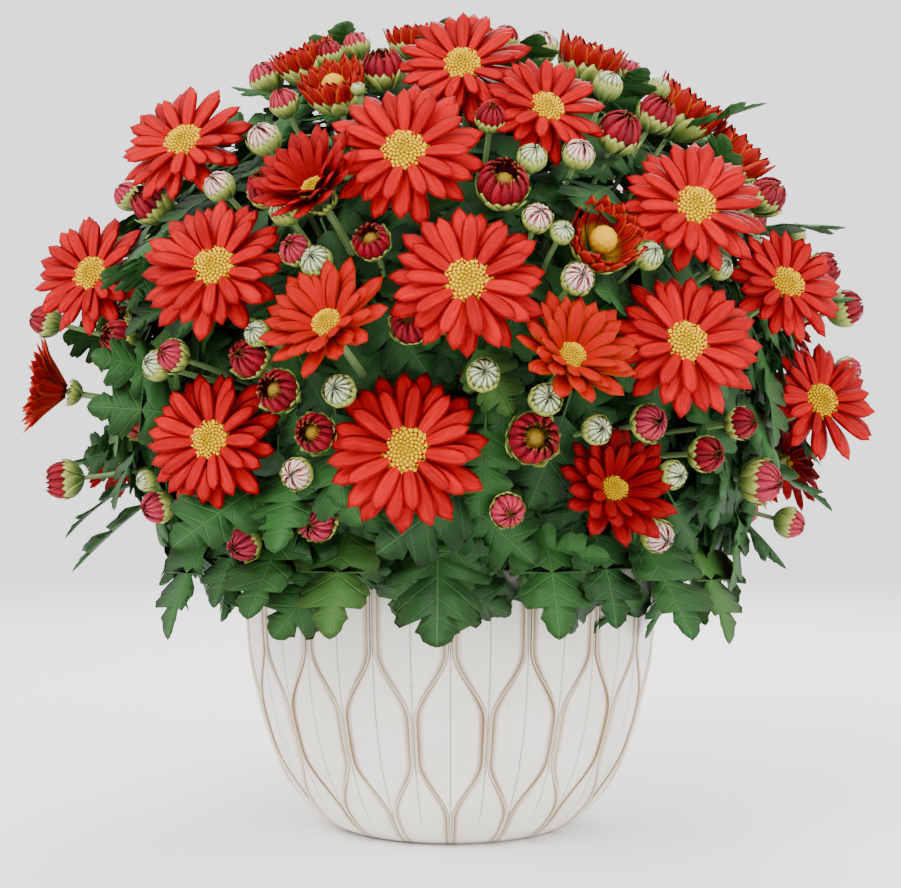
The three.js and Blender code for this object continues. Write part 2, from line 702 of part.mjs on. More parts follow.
// The stalk's own points, if any, run from the stem to the blade.
function leaf({ frame, length, width, droop, fold, stalk = [] }) {
  const points = [];
  const triangles = [];
  const add = (along, aside, rise) => {
    const p = bladePoint({ length, droop, fold }, along, aside);
    p.z += rise;
    return points.push(p.applyMatrix4(frame)) - 1;
  };
  const edges = [-1, 1].map((side) => LEAF_EDGE.map(([along, aside]) => (
    add(along, side * Math.max(aside * width, PETIOLE_WIDTH / 2), 0))));
  const tip = add(1, 0, 0);
  const ribs = [1, -1].map((side) => LEAF_RIB.map((along) => add(along, 0, (side * LEAF_THICKNESS) / 2)));
  const last = LEAF_EDGE.length - 1;
  ribs.forEach((rib, face) => {
    edges.forEach((edge, side) => {
      const flip = face !== side;
      const put = (a, b, c) => triangles.push(flip ? [a, c, b] : [a, b, c]);
      for (let i = 0; i < last; i++) {
        const [near, next] = [rib[LEAF_FAN[i]], rib[LEAF_FAN[i + 1]]];
        put(near, edge[i], edge[i + 1]);
        if (near !== next) {
          put(near, edge[i + 1], next);
        }
      }
      put(rib.at(-1), edge[last], tip);
    });
  });
  const origin = new THREE.Vector3().setFromMatrixPosition(frame);
  const axes = [new THREE.Vector3(), new THREE.Vector3(), new THREE.Vector3()];
  frame.extractBasis(...axes);
  let ring = [edges[0][0], ribs[0][0], edges[1][0], ribs[1][0]];
  for (const centre of stalk.slice().reverse()) {
    const shift = centre.clone().sub(origin);
    const lower = ring.map((_, k) => {
      const spoke = k % 2 ? axes[2] : axes[1];
      const side = k === 0 || k === 3 ? -1 : 1;
      return points.push(origin.clone().add(shift).addScaledVector(spoke, (side * PETIOLE_WIDTH) / 2)) - 1;
    });
    for (let k = 0; k < 4; k++) {
      const n = (k + 1) % 4;
      triangles.push([lower[k], ring[k], ring[n]], [lower[k], ring[n], lower[n]]);
    }
    ring = lower;
  }
  triangles.push([ring[0], ring[1], ring[3]], [ring[2], ring[3], ring[1]]);
  return solid(points, triangles);
}

// Point of a blade's middle sheet, which droops along its rib and folds about it.
function bladePoint({ length, droop, fold }, along, aside) {
  return new THREE.Vector3(along * length, aside, fold * Math.abs(aside) - droop * along * along * length);
}

// Blooms and their frames; the ones behind are given without a facing and look along the
// dome's own outward direction, tipped a little upwards.
const blooms = [
  ...OPEN_BLOOMS.map((row) => ({ row, open: true, petals: PETALS })),
  ...CUPPED_BLOOMS.map((row) => ({ row, open: false, petals: PETALS_CUPPED })),
  ...BACK_BLOOMS.map((row) => ({ row, open: true, petals: PETALS_BEHIND })),
  ...BACK_PAIRS.flatMap((row) => [-0.5, 0.5].map((share) => (
    { row, open: true, petals: PETALS_CUPPED, paired: true, aside: share * PAIR_SPACING }))),
].map((bloom) => {
  const placed = { ...bloom, ...bloomFrame(bloom.row, bloom.aside) };
  placed.cutting = cuttingOf(placed.core);
  return placed;
});

// Whether a point keeps a margin to every bloom's petals, disc and cup.
function clearOfBlooms(point, margin) {
  return blooms.every((bloom) => {
    const away = point.clone().sub(bloom.core);
    const height = away.dot(bloom.face);
    const radius = Math.sqrt(Math.max(away.lengthSq() - height * height, 0));
    const shape = bloomShape(bloom.diameter, bloom.open);
    const top = shape.reach * Math.sin(radians(shape.layers[1].lift)) + DISC_RISE;
    const low = radius < CUP_RADIUS + GAP + 2 ? -2 * CUP_HEIGHT : -2;
    return radius > bloom.diameter / 2 + margin || height < low - margin || height > top + margin;
  });
}

function budPlace([azimuth, height, thickness, out = 0]) {
  const centre = place(azimuth, domeRadius(height) + out - thickness / 2, height);
  const face = facing(azimuth, BUD_LEVEL * domeTilt(height) + BUD_LIFT);
  return { centre, face, thickness, cutting: cuttingOf(centre) };
}

// Bud on its stem as one swept body: stem, green base, widest ring, shoulder, tip.
function bud({ centre, face, thickness }) {
  const at = (share) => centre.clone().addScaledVector(face, share * thickness);
  const [start, , end] = stemPath(at(BUD_STEM_END), face);
  const path = [start, end];
  const radii = path.map(() => BUD_STEM_RADIUS);
  const head = [...BUD_RINGS, BUD_TIP].map(at);
  const headRadii = [thickness / 2, BUD_SHOULDER * thickness, 0];
  const body = sweep([...path, ...head], [...radii, ...headRadii], STEM_SIDES, path.length);
  return { body, path };
}

// Buds behind: rows round the back, each turned and thinned by the seeded draw.
function backBuds(random) {
  return BACK_BUD_ROWS.flatMap(([height, count], row) => Array.from({ length: count }, (_, i) => {
    const azimuth = BACK_BUD_START + ((i + 0.3 + 0.4 * (row % 2)) * BACK_BUD_SPREAD) / count + 6 * random();
    return [azimuth, height + 10 * random() - 5, 11 + 5 * random()];
  })).filter((row) => clearOfBlooms(budPlace(row).centre, row[2] / 2 + 1));
}

const random = seeded(2024);
const buds = [...BUDS, ...backBuds(random)].map(budPlace);
const green = Array.from({ length: CUTTINGS }, (_, c) => {
  const trunk = [ROOT_HEIGHT, TRUNK_TOP].map((height) => trunkPoint(c, height));
  return [core(c, random), sweep(trunk, [TRUNK_RADIUS, TRUNK_RADIUS], TRUNK_SIDES)];
});
const stems = [];
for (const bloom of blooms) {
  const { body, path } = bloomStem(bloom);
  green[bloom.cutting].push(body);
  stems.push(path);
}
for (const one of buds) {
  const { body, path } = bud(one);
  green[one.cutting].push(body);
  stems.push([...path, one.centre]);
}

// Points of a leaf that have to stay clear: along its rib and at its lobes.
function leafPoints(shape) {
  const shares = [[0.3, 0], [0.55, 0], [0.8, 0], [1, 0], [0.4, 0.4], [0.4, -0.4], [0.7, 0.46], [0.7, -0.46]];
  return shares.map(([along, aside]) => (
    bladePoint(shape, along, aside * shape.width).applyMatrix4(shape.frame)));
}

// Points along every stem and bud, which the leaves keep clear of.
const stemPoints = stems.flatMap((path) => {
  const curve = new THREE.CurvePath();
  path.slice(1).forEach((point, i) => curve.add(new THREE.LineCurve3(path[i], point)));
  return curve.getSpacedPoints(8);
});

function leafFits(shape, cutting, others) {
  return leafPoints(shape).every((p) => {
    const r = Math.hypot(p.x, p.y);
    const overPot = p.z > POT_HEIGHT + 4 || r > RIM_RADIUS + 6;
    return overPot && insideWedge(p, cutting) > 1 && r < domeRadius(Math.max(p.z, 95)) + 6
      && clearOfBlooms(p, 2) && others.every((q) => q.distanceTo(p) > LEAF_SPACING)
      && stemPoints.every((q) => q.distanceTo(p) > STEM_SPACING);
  });
}

// Frame of a leaf: x along it, z out of its upper face.
function leafFrame(base, along, upper) {
  const x = along.clone().normalize();
  const y = new THREE.Vector3().crossVectors(upper, x).normalize();
  const z = new THREE.Vector3().crossVectors(x, y);
  return new THREE.Matrix4().makeBasis(x, y, z).setPosition(base);
}

const leafTips = [];
for (const [azimuth, tipRadius, tipHeight, length, width] of SKIRT_LEAVES) {
  const tip = place(azimuth, tipRadius, tipHeight);
  const drop = THREE.MathUtils.clamp(0.9 - (tipHeight - 95) / 90, 0.1, 0.8);
  const base = place(azimuth, tipRadius - length * Math.sqrt(1 - drop * drop), tipHeight + length * drop);
  const shape = {
    frame: leafFrame(base, tip.clone().sub(base), place(azimuth, 0.5, 1)),
    length: base.distanceTo(tip),
    width,
    droop: SKIRT_DROOP,
    fold: SKIRT_FOLD,
  };
  const inner = Math.min(0.6 * Math.hypot(base.x, base.y), 68);
  const stalk = [place(azimuth, inner, Math.max(base.z, POT_HEIGHT + 12))];
  green[cuttingOf(base)].push(leaf({ ...shape, stalk }));
  leafTips.push(...leafPoints(shape));
}

// Leaves cover the core in rows, every second row shifted by half a step. Each is turned
// until it is clear of the blooms, buds and other leaves, or else left out.
LEAF_ROWS.forEach(([height, count], row) => {
  for (let i = 0; i < count; i++) {
    for (let tries = 0; tries < LEAF_TRIES; tries++) {
      const azimuth = (360 * (i + (row % 2) / 2 + 0.5 * random())) / count;
      const level = height + 16 * random() - 8;
      const outer = place(azimuth, domeRadius(level), level);
      const base = drawnIn(outer, LEAF_START);
      const outward = facing(azimuth, domeTilt(level));
      const turn = 2 * Math.PI * random();
      const sideways = new THREE.Vector3().crossVectors(up, outward).normalize();
      const upward = new THREE.Vector3().crossVectors(outward, sideways);
      const direction = outward.clone().multiplyScalar(LEAF_OUTWARD)
        .addScaledVector(sideways, Math.sin(turn))
        .addScaledVector(upward, Math.cos(turn) - LEAF_HANG);
      const length = LEAF_LENGTH + 10 * random();
      const shape = {
        frame: leafFrame(base, direction, outward.clone().addScaledVector(up, 0.3)),
        length,
        width: LEAF_WIDTH * length,
        droop: 0.05 + 0.15 * random(),
        fold: 0.1 - 0.3 * random(),
      };
      const cutting = cuttingOf(base);
      if (leafFits(shape, cutting, leafTips)) {
        green[cutting].push(leaf({ ...shape, stalk: [drawnIn(outer, STALK_START)] }));
        leafTips.push(...leafPoints(shape));
        break;
      }
    }
  }
});

// Sub-parts
const group = new THREE.Group();

function add(name, body, color, roughness) {
  const material = new THREE.MeshStandardMaterial({ color, roughness, metalness: 0, flatShading: true });
  const mesh = new THREE.Mesh(geometryOf(body), material);
  mesh.name = name;
  group.add(mesh);
}

const trunks = Array.from({ length: CUTTINGS }, (_, c) => trunkPoint(c, ROOT_HEIGHT));
add('pot', pot(), 0xf2ead8, 0.3);
add('soil', soil(trunks), 0x2b1f17, 0.95);
green.forEach((bodies, c) => add(`leafy_stem_${c + 1}`, joined(bodies), 0x2f5a22, 0.6));

let open = 0;
let cupped = 0;
blooms.filter((bloom) => !bloom.paired).forEach((bloom) => {
  const body = petals(bloom, random() * Math.PI);
  if (bloom.open) {
    open += 1;
    add(`bloom_${open}_petals`, body, 0xc8141e, 0.55);
    add(`bloom_${open}_disc`, disc(bloom), 0xf0c010, 0.8);
  } else {
    cupped += 1;
    add(`cupped_bloom_${cupped}`, body, 0xc01a20, 0.55);
  }
});
BACK_PAIRS.forEach((pair, i) => {
  const both = blooms.filter((bloom) => bloom.row === pair);
  const heads = both.map((bloom) => petals(bloom, 0));
  add(`bloom_pair_${i + 1}`, joined(heads), 0xc8141e, 0.55);
});

export default group;
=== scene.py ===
import json
import math

import bpy
import numpy as np
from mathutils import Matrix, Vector

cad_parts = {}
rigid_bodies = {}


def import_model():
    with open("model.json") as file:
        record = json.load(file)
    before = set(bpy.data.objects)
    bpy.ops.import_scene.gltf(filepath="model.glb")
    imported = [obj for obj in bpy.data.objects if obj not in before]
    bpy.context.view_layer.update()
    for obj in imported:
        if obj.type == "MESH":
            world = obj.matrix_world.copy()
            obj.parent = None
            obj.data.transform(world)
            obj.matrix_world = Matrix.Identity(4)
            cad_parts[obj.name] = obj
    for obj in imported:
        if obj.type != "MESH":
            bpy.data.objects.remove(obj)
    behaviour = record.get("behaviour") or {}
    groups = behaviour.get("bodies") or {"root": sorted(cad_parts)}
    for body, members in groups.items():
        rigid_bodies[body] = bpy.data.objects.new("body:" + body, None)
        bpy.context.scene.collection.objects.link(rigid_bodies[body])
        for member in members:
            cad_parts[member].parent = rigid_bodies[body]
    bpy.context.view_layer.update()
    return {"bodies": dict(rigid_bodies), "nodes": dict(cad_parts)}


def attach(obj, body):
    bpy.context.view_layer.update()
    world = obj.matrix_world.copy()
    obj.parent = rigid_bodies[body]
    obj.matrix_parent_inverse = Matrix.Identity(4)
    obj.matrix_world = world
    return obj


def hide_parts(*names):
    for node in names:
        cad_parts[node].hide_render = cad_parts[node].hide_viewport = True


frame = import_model()
MM = 0.001
BODY = frame["bodies"] and next(iter(frame["bodies"]))
scene = bpy.context.scene

# The view: a camera just above the pot's rim that looks up a little, on a pale floor
# that runs into a pale room, under one large soft lamp and two weaker ones.
CAMERA_PLACE = (0, -0.646, 0.131)
CAMERA_PITCH = 3.23
CAMERA_FOCAL_SHARE = 1435 / 901
FLOOR_SIZE = 12
ROOM_LIGHT = 1.9
LAMPS = {
    "key": {"place": (-0.9, -1.3, 1.5), "size": 1.1, "watts": 58},
    "fill": {"place": (1.4, -1.0, 0.7), "size": 1.2, "watts": 22},
    "back": {"place": (0.3, 1.3, 1.5), "size": 1.0, "watts": 32},
}
LAMP_AIM = (0, 0, 0.2)

camera = bpy.data.cameras.new("camera")
camera.lens = camera.sensor_width * CAMERA_FOCAL_SHARE
camera_object = bpy.data.objects.new("camera", camera)
camera_object.location = CAMERA_PLACE
camera_object.rotation_euler = (math.radians(90 + CAMERA_PITCH), 0, 0)
scene.collection.objects.link(camera_object)
scene.camera = camera_object

for name, lamp in LAMPS.items():
    light = bpy.data.lights.new(name, "AREA")
    light.size = lamp["size"]
    light.energy = lamp["watts"]
    light_object = bpy.data.objects.new(name, light)
    light_object.location = lamp["place"]
    aim = Vector(LAMP_AIM) - light_object.location
    light_object.rotation_euler = aim.to_track_quat("-Z", "Y").to_euler()
    scene.collection.objects.link(light_object)

world = bpy.data.worlds.new("room")
scene.world = world
world.use_nodes = True
world.node_tree.nodes["Background"].inputs["Color"].default_value = (1, 1, 1, 1)
world.node_tree.nodes["Background"].inputs["Strength"].default_value = ROOM_LIGHT


class Value:
    """A number or vector in a node tree, which Python's operators add Math nodes to."""

    def __init__(self, tree, socket):
        self.tree = tree
        self.socket = socket

    def __getitem__(self, name):
        sockets = self.socket.node.outputs
        return Value(self.tree, next(s for s in sockets if s.enabled and s.name == name))

    def __add__(self, other):
        return self.tree.maths("ADD", self, other)

    def __sub__(self, other):
        return self.tree.maths("SUBTRACT", self, other)

    def __rsub__(self, other):
        return self.tree.maths("SUBTRACT", other, self)

    def __mul__(self, other):
        return self.tree.maths("MULTIPLY", self, other)

    def __truediv__(self, other):
        return self.tree.maths("DIVIDE", self, other)

    def __pow__(self, other):
        return self.tree.maths("POWER", self, other)

    __radd__ = __add__
    __rmul__ = __mul__


class Tree:
    """The nodes of a material or of a Geometry Nodes group."""

    def __init__(self, owner):
        self.owner = owner
        self.nodes = owner.nodes
        self.links = owner.links

    def node(self, kind, settings=None, sockets=None):
        """A node of that kind, as the Value of its first output."""
        node = self.nodes.new(kind)
        for key, value in (settings or {}).items():
            if key == "stops":
                ramp = node.color_ramp.elements
                while len(ramp) < len(value):
                    ramp.new(1)
                for stop, (position, colour) in zip(ramp, value):
                    stop.position = position
                    stop.color = (*colour, 1)
            else:
                setattr(node, key, value)
        for key, value in (sockets or {}).items():
            named = [s for s in node.inputs if s.enabled and s.name == key]
            socket = named[0] if named else node.inputs[key]
            if isinstance(value, Value):
                self.links.new(value.socket, socket)
            elif isinstance(value, tuple) and len(value) == 3 and socket.type == "RGBA":
                socket.default_value = (*value, 1)
            else:
                socket.default_value = value
        outputs = [s for s in node.outputs if s.enabled]
        return Value(self, outputs[0]) if outputs else node

    def maths(self, operation, *values):
        return self.node("ShaderNodeMath", {"operation": operation}, dict(enumerate(values)))

    def vector(self, operation, *values):
        return self.node("ShaderNodeVectorMath", {"operation": operation}, dict(enumerate(values)))

    def scaled(self, vector, factor):
        return self.node("ShaderNodeVectorMath", {"operation": "SCALE"}, {0: vector, "Scale": factor})

    def point(self, x, y, z):
        return self.node("ShaderNodeCombineXYZ", {}, {0: x, 1: y, 2: z})

    def mix(self, share, low, high):
        """The colour that far from one colour to another."""
        return self.node("ShaderNodeMix", {"data_type": "RGBA"}, {"Factor": share, "A": low, "B": high})

    def step(self, value, low, high):
        """0 below low, 1 above high, and a smooth step between."""
        return self.node(
            "ShaderNodeMapRange",
            {"interpolation_type": "SMOOTHSTEP"},
            {"Value": value, "From Min": low, "From Max": high},
        )

    def attribute(self, name):
        return self.node("ShaderNodeAttribute", {"attribute_name": name})["Fac"]

    def place(self):
        """Where a point of the surface lies, in metres."""
        return self.node("ShaderNodeTexCoord")["Object"]

    def uv(self):
        """How far along a shape and across it a point of the surface lies, from 0 to 1."""
        share = self.node("ShaderNodeSeparateXYZ", {}, {"Vector": self.node("ShaderNodeUVMap")})
        return share["X"], share["Y"]

    def noise(self, place, scale, detail):
        return self.node("ShaderNodeTexNoise", {}, {"Vector": place, "Scale": scale, "Detail": detail})

    def bump(self, strength, distance, height):
        return self.node("ShaderNodeBump", {}, {"Strength": strength, "Distance": distance, "Height": height})

    def painted(self, colour, *coats):
        """A colour under coats: how much of each shows, and its colour."""
        for share, coat in coats:
            colour = self.mix(share, colour, coat)
        return colour

    def geometry(self, kind, settings=None, /, **sockets):
        """A Geometry node, whose sockets are named with underscores for spaces."""
        spaced = {key.replace("_", " "): value for key, value in sockets.items()}
        return self.node("GeometryNode" + kind, settings, spaced)

    def named(self, name, kind="FLOAT"):
        return self.geometry("InputNamedAttribute", {"data_type": kind}, Name=name)

    def stored(self, geometry, name, value, domain="POINT"):
        return self.geometry("StoreNamedAttribute", {"data_type": "FLOAT", "domain": domain},
                             Geometry=geometry, Name=name, Value=value)

    def chance(self, low, high, seed, kind="FLOAT"):
        return self.node("FunctionNodeRandomValue", {"data_type": kind},
                         {"Min": low, "Max": high, "Seed": seed})

    def joined(self, *geometries):
        join = self.geometry("JoinGeometry", Geometry=geometries[0])
        for geometry in geometries[1:]:
            self.links.new(geometry.socket, join.socket.node.inputs["Geometry"])
        return join


class Skin(Tree):
    """The nodes of a new material of that name, with these fixed values."""

    def __init__(self, name, **constants):
        self.material = bpy.data.materials.new(name)
        self.material.use_nodes = True
        super().__init__(self.material.node_tree)
        self.shader = self.nodes["Principled BSDF"]
        for key, value in constants.items():
            self.shader.inputs[key.replace("_", " ")].default_value = value

    def feed(self, **values):
        """The material, with values that vary over the surface joined to its shader."""
        for key, value in values.items():
            self.links.new(value.socket, self.shader.inputs[key.replace("_", " ")])
        return self.material


def mesh_object(name, points, faces, material=None, smooth=True):
    """An object at the origin, from points in millimetres and faces."""
    mesh = bpy.data.meshes.new(name)
    mesh.from_pydata((np.asarray(points) * MM).tolist(), [], faces)
    mesh.shade_smooth() if smooth else mesh.shade_flat()
    if material:
        mesh.materials.append(material)
    return bpy.data.objects.new(name, mesh)


def floats(piece, name, values):
    """Stores a number for each point of a piece."""
    piece.data.attributes.new(name, "FLOAT", "POINT").data.foreach_set("value", np.ravel(values))


def ring_faces(rings, count):
    """Faces between rings of that many points each, and over the first and the last ring."""
    faces = []
    for first in range(0, (rings - 1) * count, count):
        for i in range(count):
            following = (i + 1) % count
            faces.append((first + i, first + following, first + count + following, first + count + i))
    last = (rings - 1) * count
    return faces + [tuple(range(count))[::-1], tuple(last + i for i in range(count))]


side = FLOOR_SIZE / 2 / MM
floor = mesh_object(
    "floor", [(-side, -side, 0), (side, -side, 0), (side, side, 0), (-side, side, 0)],
    [(0, 1, 2, 3)], Skin("floor", Roughness=0.6, Base_Color=(0.95, 0.95, 0.95, 1)).material)
scene.collection.objects.link(floor)

# Pot: slip-cast stoneware under a cream satin glaze. Pairs of raised lips, where the glaze breaks tan, run
# down from the rim, swing apart to the next pair and meet near the foot; the crease along each lip's foot is
# darkened with a tan line of painted shade.
# Every panel between them is folded along a fine upright crease, and a grey line of painted shade darkens
# that groove.
POT_HEIGHT = 114
RIM_RADIUS = 90
FOOT_RADIUS = 46
WALL = 4.5
FLOOR = 7
PANELS = 18
LIP_SPACING = 2.6
LIP_WIDTH = 1.25
LIP_HEIGHT = 1.1
PANEL_CROWN = 0.7
CREASE_WIDTH = 0.55
CREASE_DEPTH = 0.3
SPLIT, WIDE_TOP, WIDE_BOTTOM, JOIN = 82, 55, 38, 13.5
POT_ROWS = 60
GLAZE_WHITE = (0.80, 0.765, 0.70)
GLAZE_SHADE = (0.62, 0.585, 0.525)
GLAZE_CREAM = (0.64, 0.52, 0.36)
# Tan for the glaze's own specks, and for painted shade in the creases beside the lips.
GLAZE_TAN_SPECK_AND_SHADE = (0.20, 0.10, 0.035)
# Grey for painted shade down the panels' creases.
GLAZE_CREASE_SHADE = (0.22, 0.21, 0.20)
# The inner corner's height and how far the floor draws in there, the rim's rounding as
# steps in from its edge and down from its top, and where points lie across a lip.
FLOOR_CURVE = 9
CORNER_INSET = 8
RIM_PROFILE = [(0.25, 0.5), (0.8, 0.1), (1.6, 0), (2.9, 0), (3.8, 0.15), (4.3, 0.6)]
LIP_PROFILE = (-0.7, -0.35, 0, 0.35, 0.7)


def smooth(value, low, high):
    share = np.clip((value - low) / (high - low), 0, 1)
    return share * share * (3 - 2 * share)


def pot_radius(height):
    return FOOT_RADIUS + (RIM_RADIUS - FOOT_RADIUS) * (1 - (1 - height / POT_HEIGHT) ** 2.5) ** 0.6


def lip_angle(height):
    """Half of the angle between the two lips of a pair, in degrees."""
    near = math.degrees(LIP_SPACING / 2 / RIM_RADIUS)
    far = 180 / PANELS - near
    swing = np.minimum(smooth(height, JOIN, WIDE_BOTTOM), 1 - smooth(height, WIDE_TOP, SPLIT))
    return near + (far - near) * swing


def glaze():
    tree = Skin("cream glaze", IOR=1.5, Coat_Weight=0.25, Coat_Roughness=0.12)
    place = tree.place()
    cloud = tree.noise(place, 28, 4)
    grain = tree.noise(place, 900, 2)
    speck = tree.noise(place, 330, 1)
    edge = tree.attribute("edge")
    body = tree.painted(
        GLAZE_WHITE,
        (tree.step(cloud, 0.35, 0.7) * 0.35, GLAZE_SHADE),
        # Tan specks in the glaze itself.
        (tree.step(speck, 0.68, 0.76) * 0.18, GLAZE_TAN_SPECK_AND_SHADE),
        # Painted shade: a grey line down each panel's crease.
        (tree.attribute("crease") * 0.85, GLAZE_CREASE_SHADE),
        (tree.attribute("lip") * (0.6 + 0.7 * cloud), GLAZE_CREAM),
        # Painted shade: a tan line in the crease at the foot and inner flank of each lip.
        (edge * (0.5 + 0.9 * cloud), GLAZE_TAN_SPECK_AND_SHADE))
    bump = tree.bump(0.25, 0.0004, grain * 0.3 + cloud)
    return tree.feed(Base_Color=body, Roughness=0.34 + 0.1 * cloud + 0.12 * edge, Normal=bump)


def pot():
    """One closed shell of rings: foot, outside with its relief, rim, inside and floor."""
    outside = POT_HEIGHT * (1 - np.cos(np.linspace(0.06, 1, POT_ROWS) * math.pi / 2))
    outside = np.clip(outside, 0.5, POT_HEIGHT - 1.2)
    rings = [(0.02, 0, 0), (20, 0, 0), (FOOT_RADIUS - 3, 0, 0), (FOOT_RADIUS - 1.2, 0, 0)]
    rings += [(pot_radius(z), z, 1) for z in np.unique(outside)]
    rings += [(RIM_RADIUS - inset, POT_HEIGHT - drop, 0) for inset, drop in RIM_PROFILE]
    rings += [(pot_radius(z) - WALL, z, 0) for z in np.linspace(POT_HEIGHT - 2, FLOOR + FLOOR_CURVE, 20)]
    corner = pot_radius(FLOOR + FLOOR_CURVE) - WALL
    rings += [(corner - CORNER_INSET * (1 - math.cos(a)), FLOOR + FLOOR_CURVE * (1 - math.sin(a)), 0)
              for a in (0.5, 1.0, 1.57)]
    rings += [(20, FLOOR, 0), (0.02, FLOOR, 0)]
    half = 180 / PANELS
    width = math.degrees(LIP_WIDTH / 2 / RIM_RADIUS)
    points, lips, edges, crease_shades = [], [], [], []
    for radius, height, relief in rings:
        lip = float(lip_angle(height))
        crease = math.degrees(CREASE_WIDTH / radius)
        near = np.linspace(0, lip - width, 6)
        across = lip + width * np.array(LIP_PROFILE)
        far = np.linspace(lip + width, half, 6)
        near[1] = min(crease, near[2] / 2)
        far[4] = max(half - crease, (far[3] + half) / 2)
        offsets = np.concatenate([near, across, far])
        offsets = np.concatenate([offsets, 2 * half - offsets[-2:0:-1]])
        to_lip = np.minimum(abs(offsets - lip), abs(2 * half - offsets - lip)) / width
        folded = np.minimum(offsets, 2 * half - offsets)
        inner = folded < lip
        fold = abs(folded - lip) / half
        centre = np.minimum(folded, abs(offsets - half))
        crest = np.cos(np.clip(to_lip, 0, 1) * math.pi / 2) ** 1.5
        panel = smooth(height, 6, 20)
        line = np.where(centre < crease * 0.5, 1, 0) * panel
        fade = relief * smooth(height, 0.5, 6)
        rise = fade * (LIP_HEIGHT * crest + PANEL_CROWN * fold - CREASE_DEPTH * line)
        for p in range(PANELS):
            a = np.radians(offsets + 2 * half * p)
            r = radius + rise
            points.append(np.stack([r * np.sin(a), -r * np.cos(a), np.full_like(a, height)], 1))
        lips.append(np.tile(relief * np.where(to_lip < 1.3, 1 - 0.5 * to_lip, 0), PANELS))
        # The edge band, at each lip's foot and inner flank, is painted shade in the crease there.
        rim = np.where(inner, abs(to_lip - 0.85) < 0.35, abs(to_lip - 1.0) < 0.12)
        edges.append(np.tile(relief * rim * 1.0, PANELS))
        # The crease line, painted grey, is painted shade in the fold's groove.
        crease_shades.append(np.tile(relief * line, PANELS))
    count = len(points[0]) * PANELS
    shell = mesh_object("glazed_pot", np.concatenate(points), ring_faces(len(rings), count), glaze())
    for name, values in [("lip", lips), ("edge", edges), ("crease", crease_shades)]:
        floats(shell, name, values)
    return shell


def dressed(piece, slot, *nodes):
    """Links a finished piece into the scene in the place of these frame nodes."""
    scene.collection.objects.link(piece)
    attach(piece, BODY)
    if nodes:
        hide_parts(*nodes)


dressed(pot(), "pot_glaze", "pot")

# Soil: moist peat and bark mix that fills the pot to a low mound. A closed body of rings,
# with loose crumbs of bark that Geometry Nodes scatter over its top.
SOIL_EDGE = 101
SOIL_CROWN = 4
CRUMB = 1.2
SOIL_GAP = 0.6
SOIL_SEGMENTS = 96
BARK_SPACING = 4.2
BARK_SIZES = ((0.0015, 0.001, 0.0006), (0.006, 0.003, 0.002))
SOIL_LEVELS = (FLOOR + 0.3, 16, 36, 66, SOIL_EDGE)
SOIL_RINGS = (0.96, 0.9, 0.8, 0.7, 0.6, 0.5, 0.4, 0.3, 0.2, 0.1)
PEAT_STOPS = [(0.3, (0.012, 0.008, 0.006)), (0.55, (0.05, 0.03, 0.018)), (0.75, (0.14, 0.085, 0.05))]


def soil_height(x, y):
    mound = SOIL_CROWN * (1 - (x * x + y * y) / RIM_RADIUS ** 2)
    crumbs = np.sin(0.31 * x + 1.7) * np.cos(0.27 * y) + np.sin(0.19 * x - 0.42 * y)
    fine = np.sin(1.3 * x + 0.4 * y) * np.sin(1.1 * y - 0.7 * x)
    return SOIL_EDGE + mound + CRUMB / 2 * crumbs + CRUMB / 3 * fine


def geometry_group(name, **sockets):
    """A Geometry Nodes group with these named inputs, as its tree and its input node."""
    group = bpy.data.node_groups.new(name, "GeometryNodeTree")
    for way in ("INPUT", "OUTPUT"):
        group.interface.new_socket("Geometry", in_out=way, socket_type="NodeSocketGeometry")
    for label, kind in sockets.items():
        group.interface.new_socket(label, in_out="INPUT", socket_type="NodeSocket" + kind)
    tree = Tree(group)
    return tree, tree.node("NodeGroupInput")


def closed(tree, geometry, material=None):
    """The finished group: it gives real meshes, with their material if there is one."""
    result = tree.geometry("RealizeInstances", Geometry=geometry)
    if material:
        result = tree.geometry("SetMaterial", Geometry=result, Material=material)
    tree.node("NodeGroupOutput", {}, {"Geometry": result})
    return tree.owner


def grown(name, group, values, base=None):
    """The plain mesh that a group makes from a base mesh, as an object of that name."""
    piece = bpy.data.objects.new(name, base or bpy.data.meshes.new(name))
    scene.collection.objects.link(piece)
    modifier = piece.modifiers.new("growth", "NODES")
    modifier.node_group = group
    for socket in group.interface.items_tree:
        if socket.in_out == "INPUT" and socket.name in values:
            modifier[socket.identifier] = values[socket.name]
    depsgraph = bpy.context.evaluated_depsgraph_get()
    mesh = bpy.data.meshes.new_from_object(
        piece.evaluated_get(depsgraph), preserve_all_data_layers=True, depsgraph=depsgraph)
    mesh.name = name
    piece.modifiers.remove(modifier)
    piece.data = mesh
    scene.collection.objects.unlink(piece)
    return piece


def peat():
    tree = Skin("peat and bark", Roughness=0.95, Specular_IOR_Level=0.2)
    noise = tree.noise(tree.place(), 260, 5)
    colour = tree.node("ShaderNodeValToRGB", {"stops": PEAT_STOPS}, {"Fac": noise})
    return tree.feed(Base_Color=colour, Normal=tree.bump(0.9, 0.002, noise))


def strewn_points(tree, source, density, **selection):
    return tree.geometry(
        "DistributePointsOnFaces", {"distribute_method": "POISSON"}, Mesh=source["Geometry"],
        Distance_Min=source["Spacing"], Density_Max=density, Seed=source["Seed"], **selection)


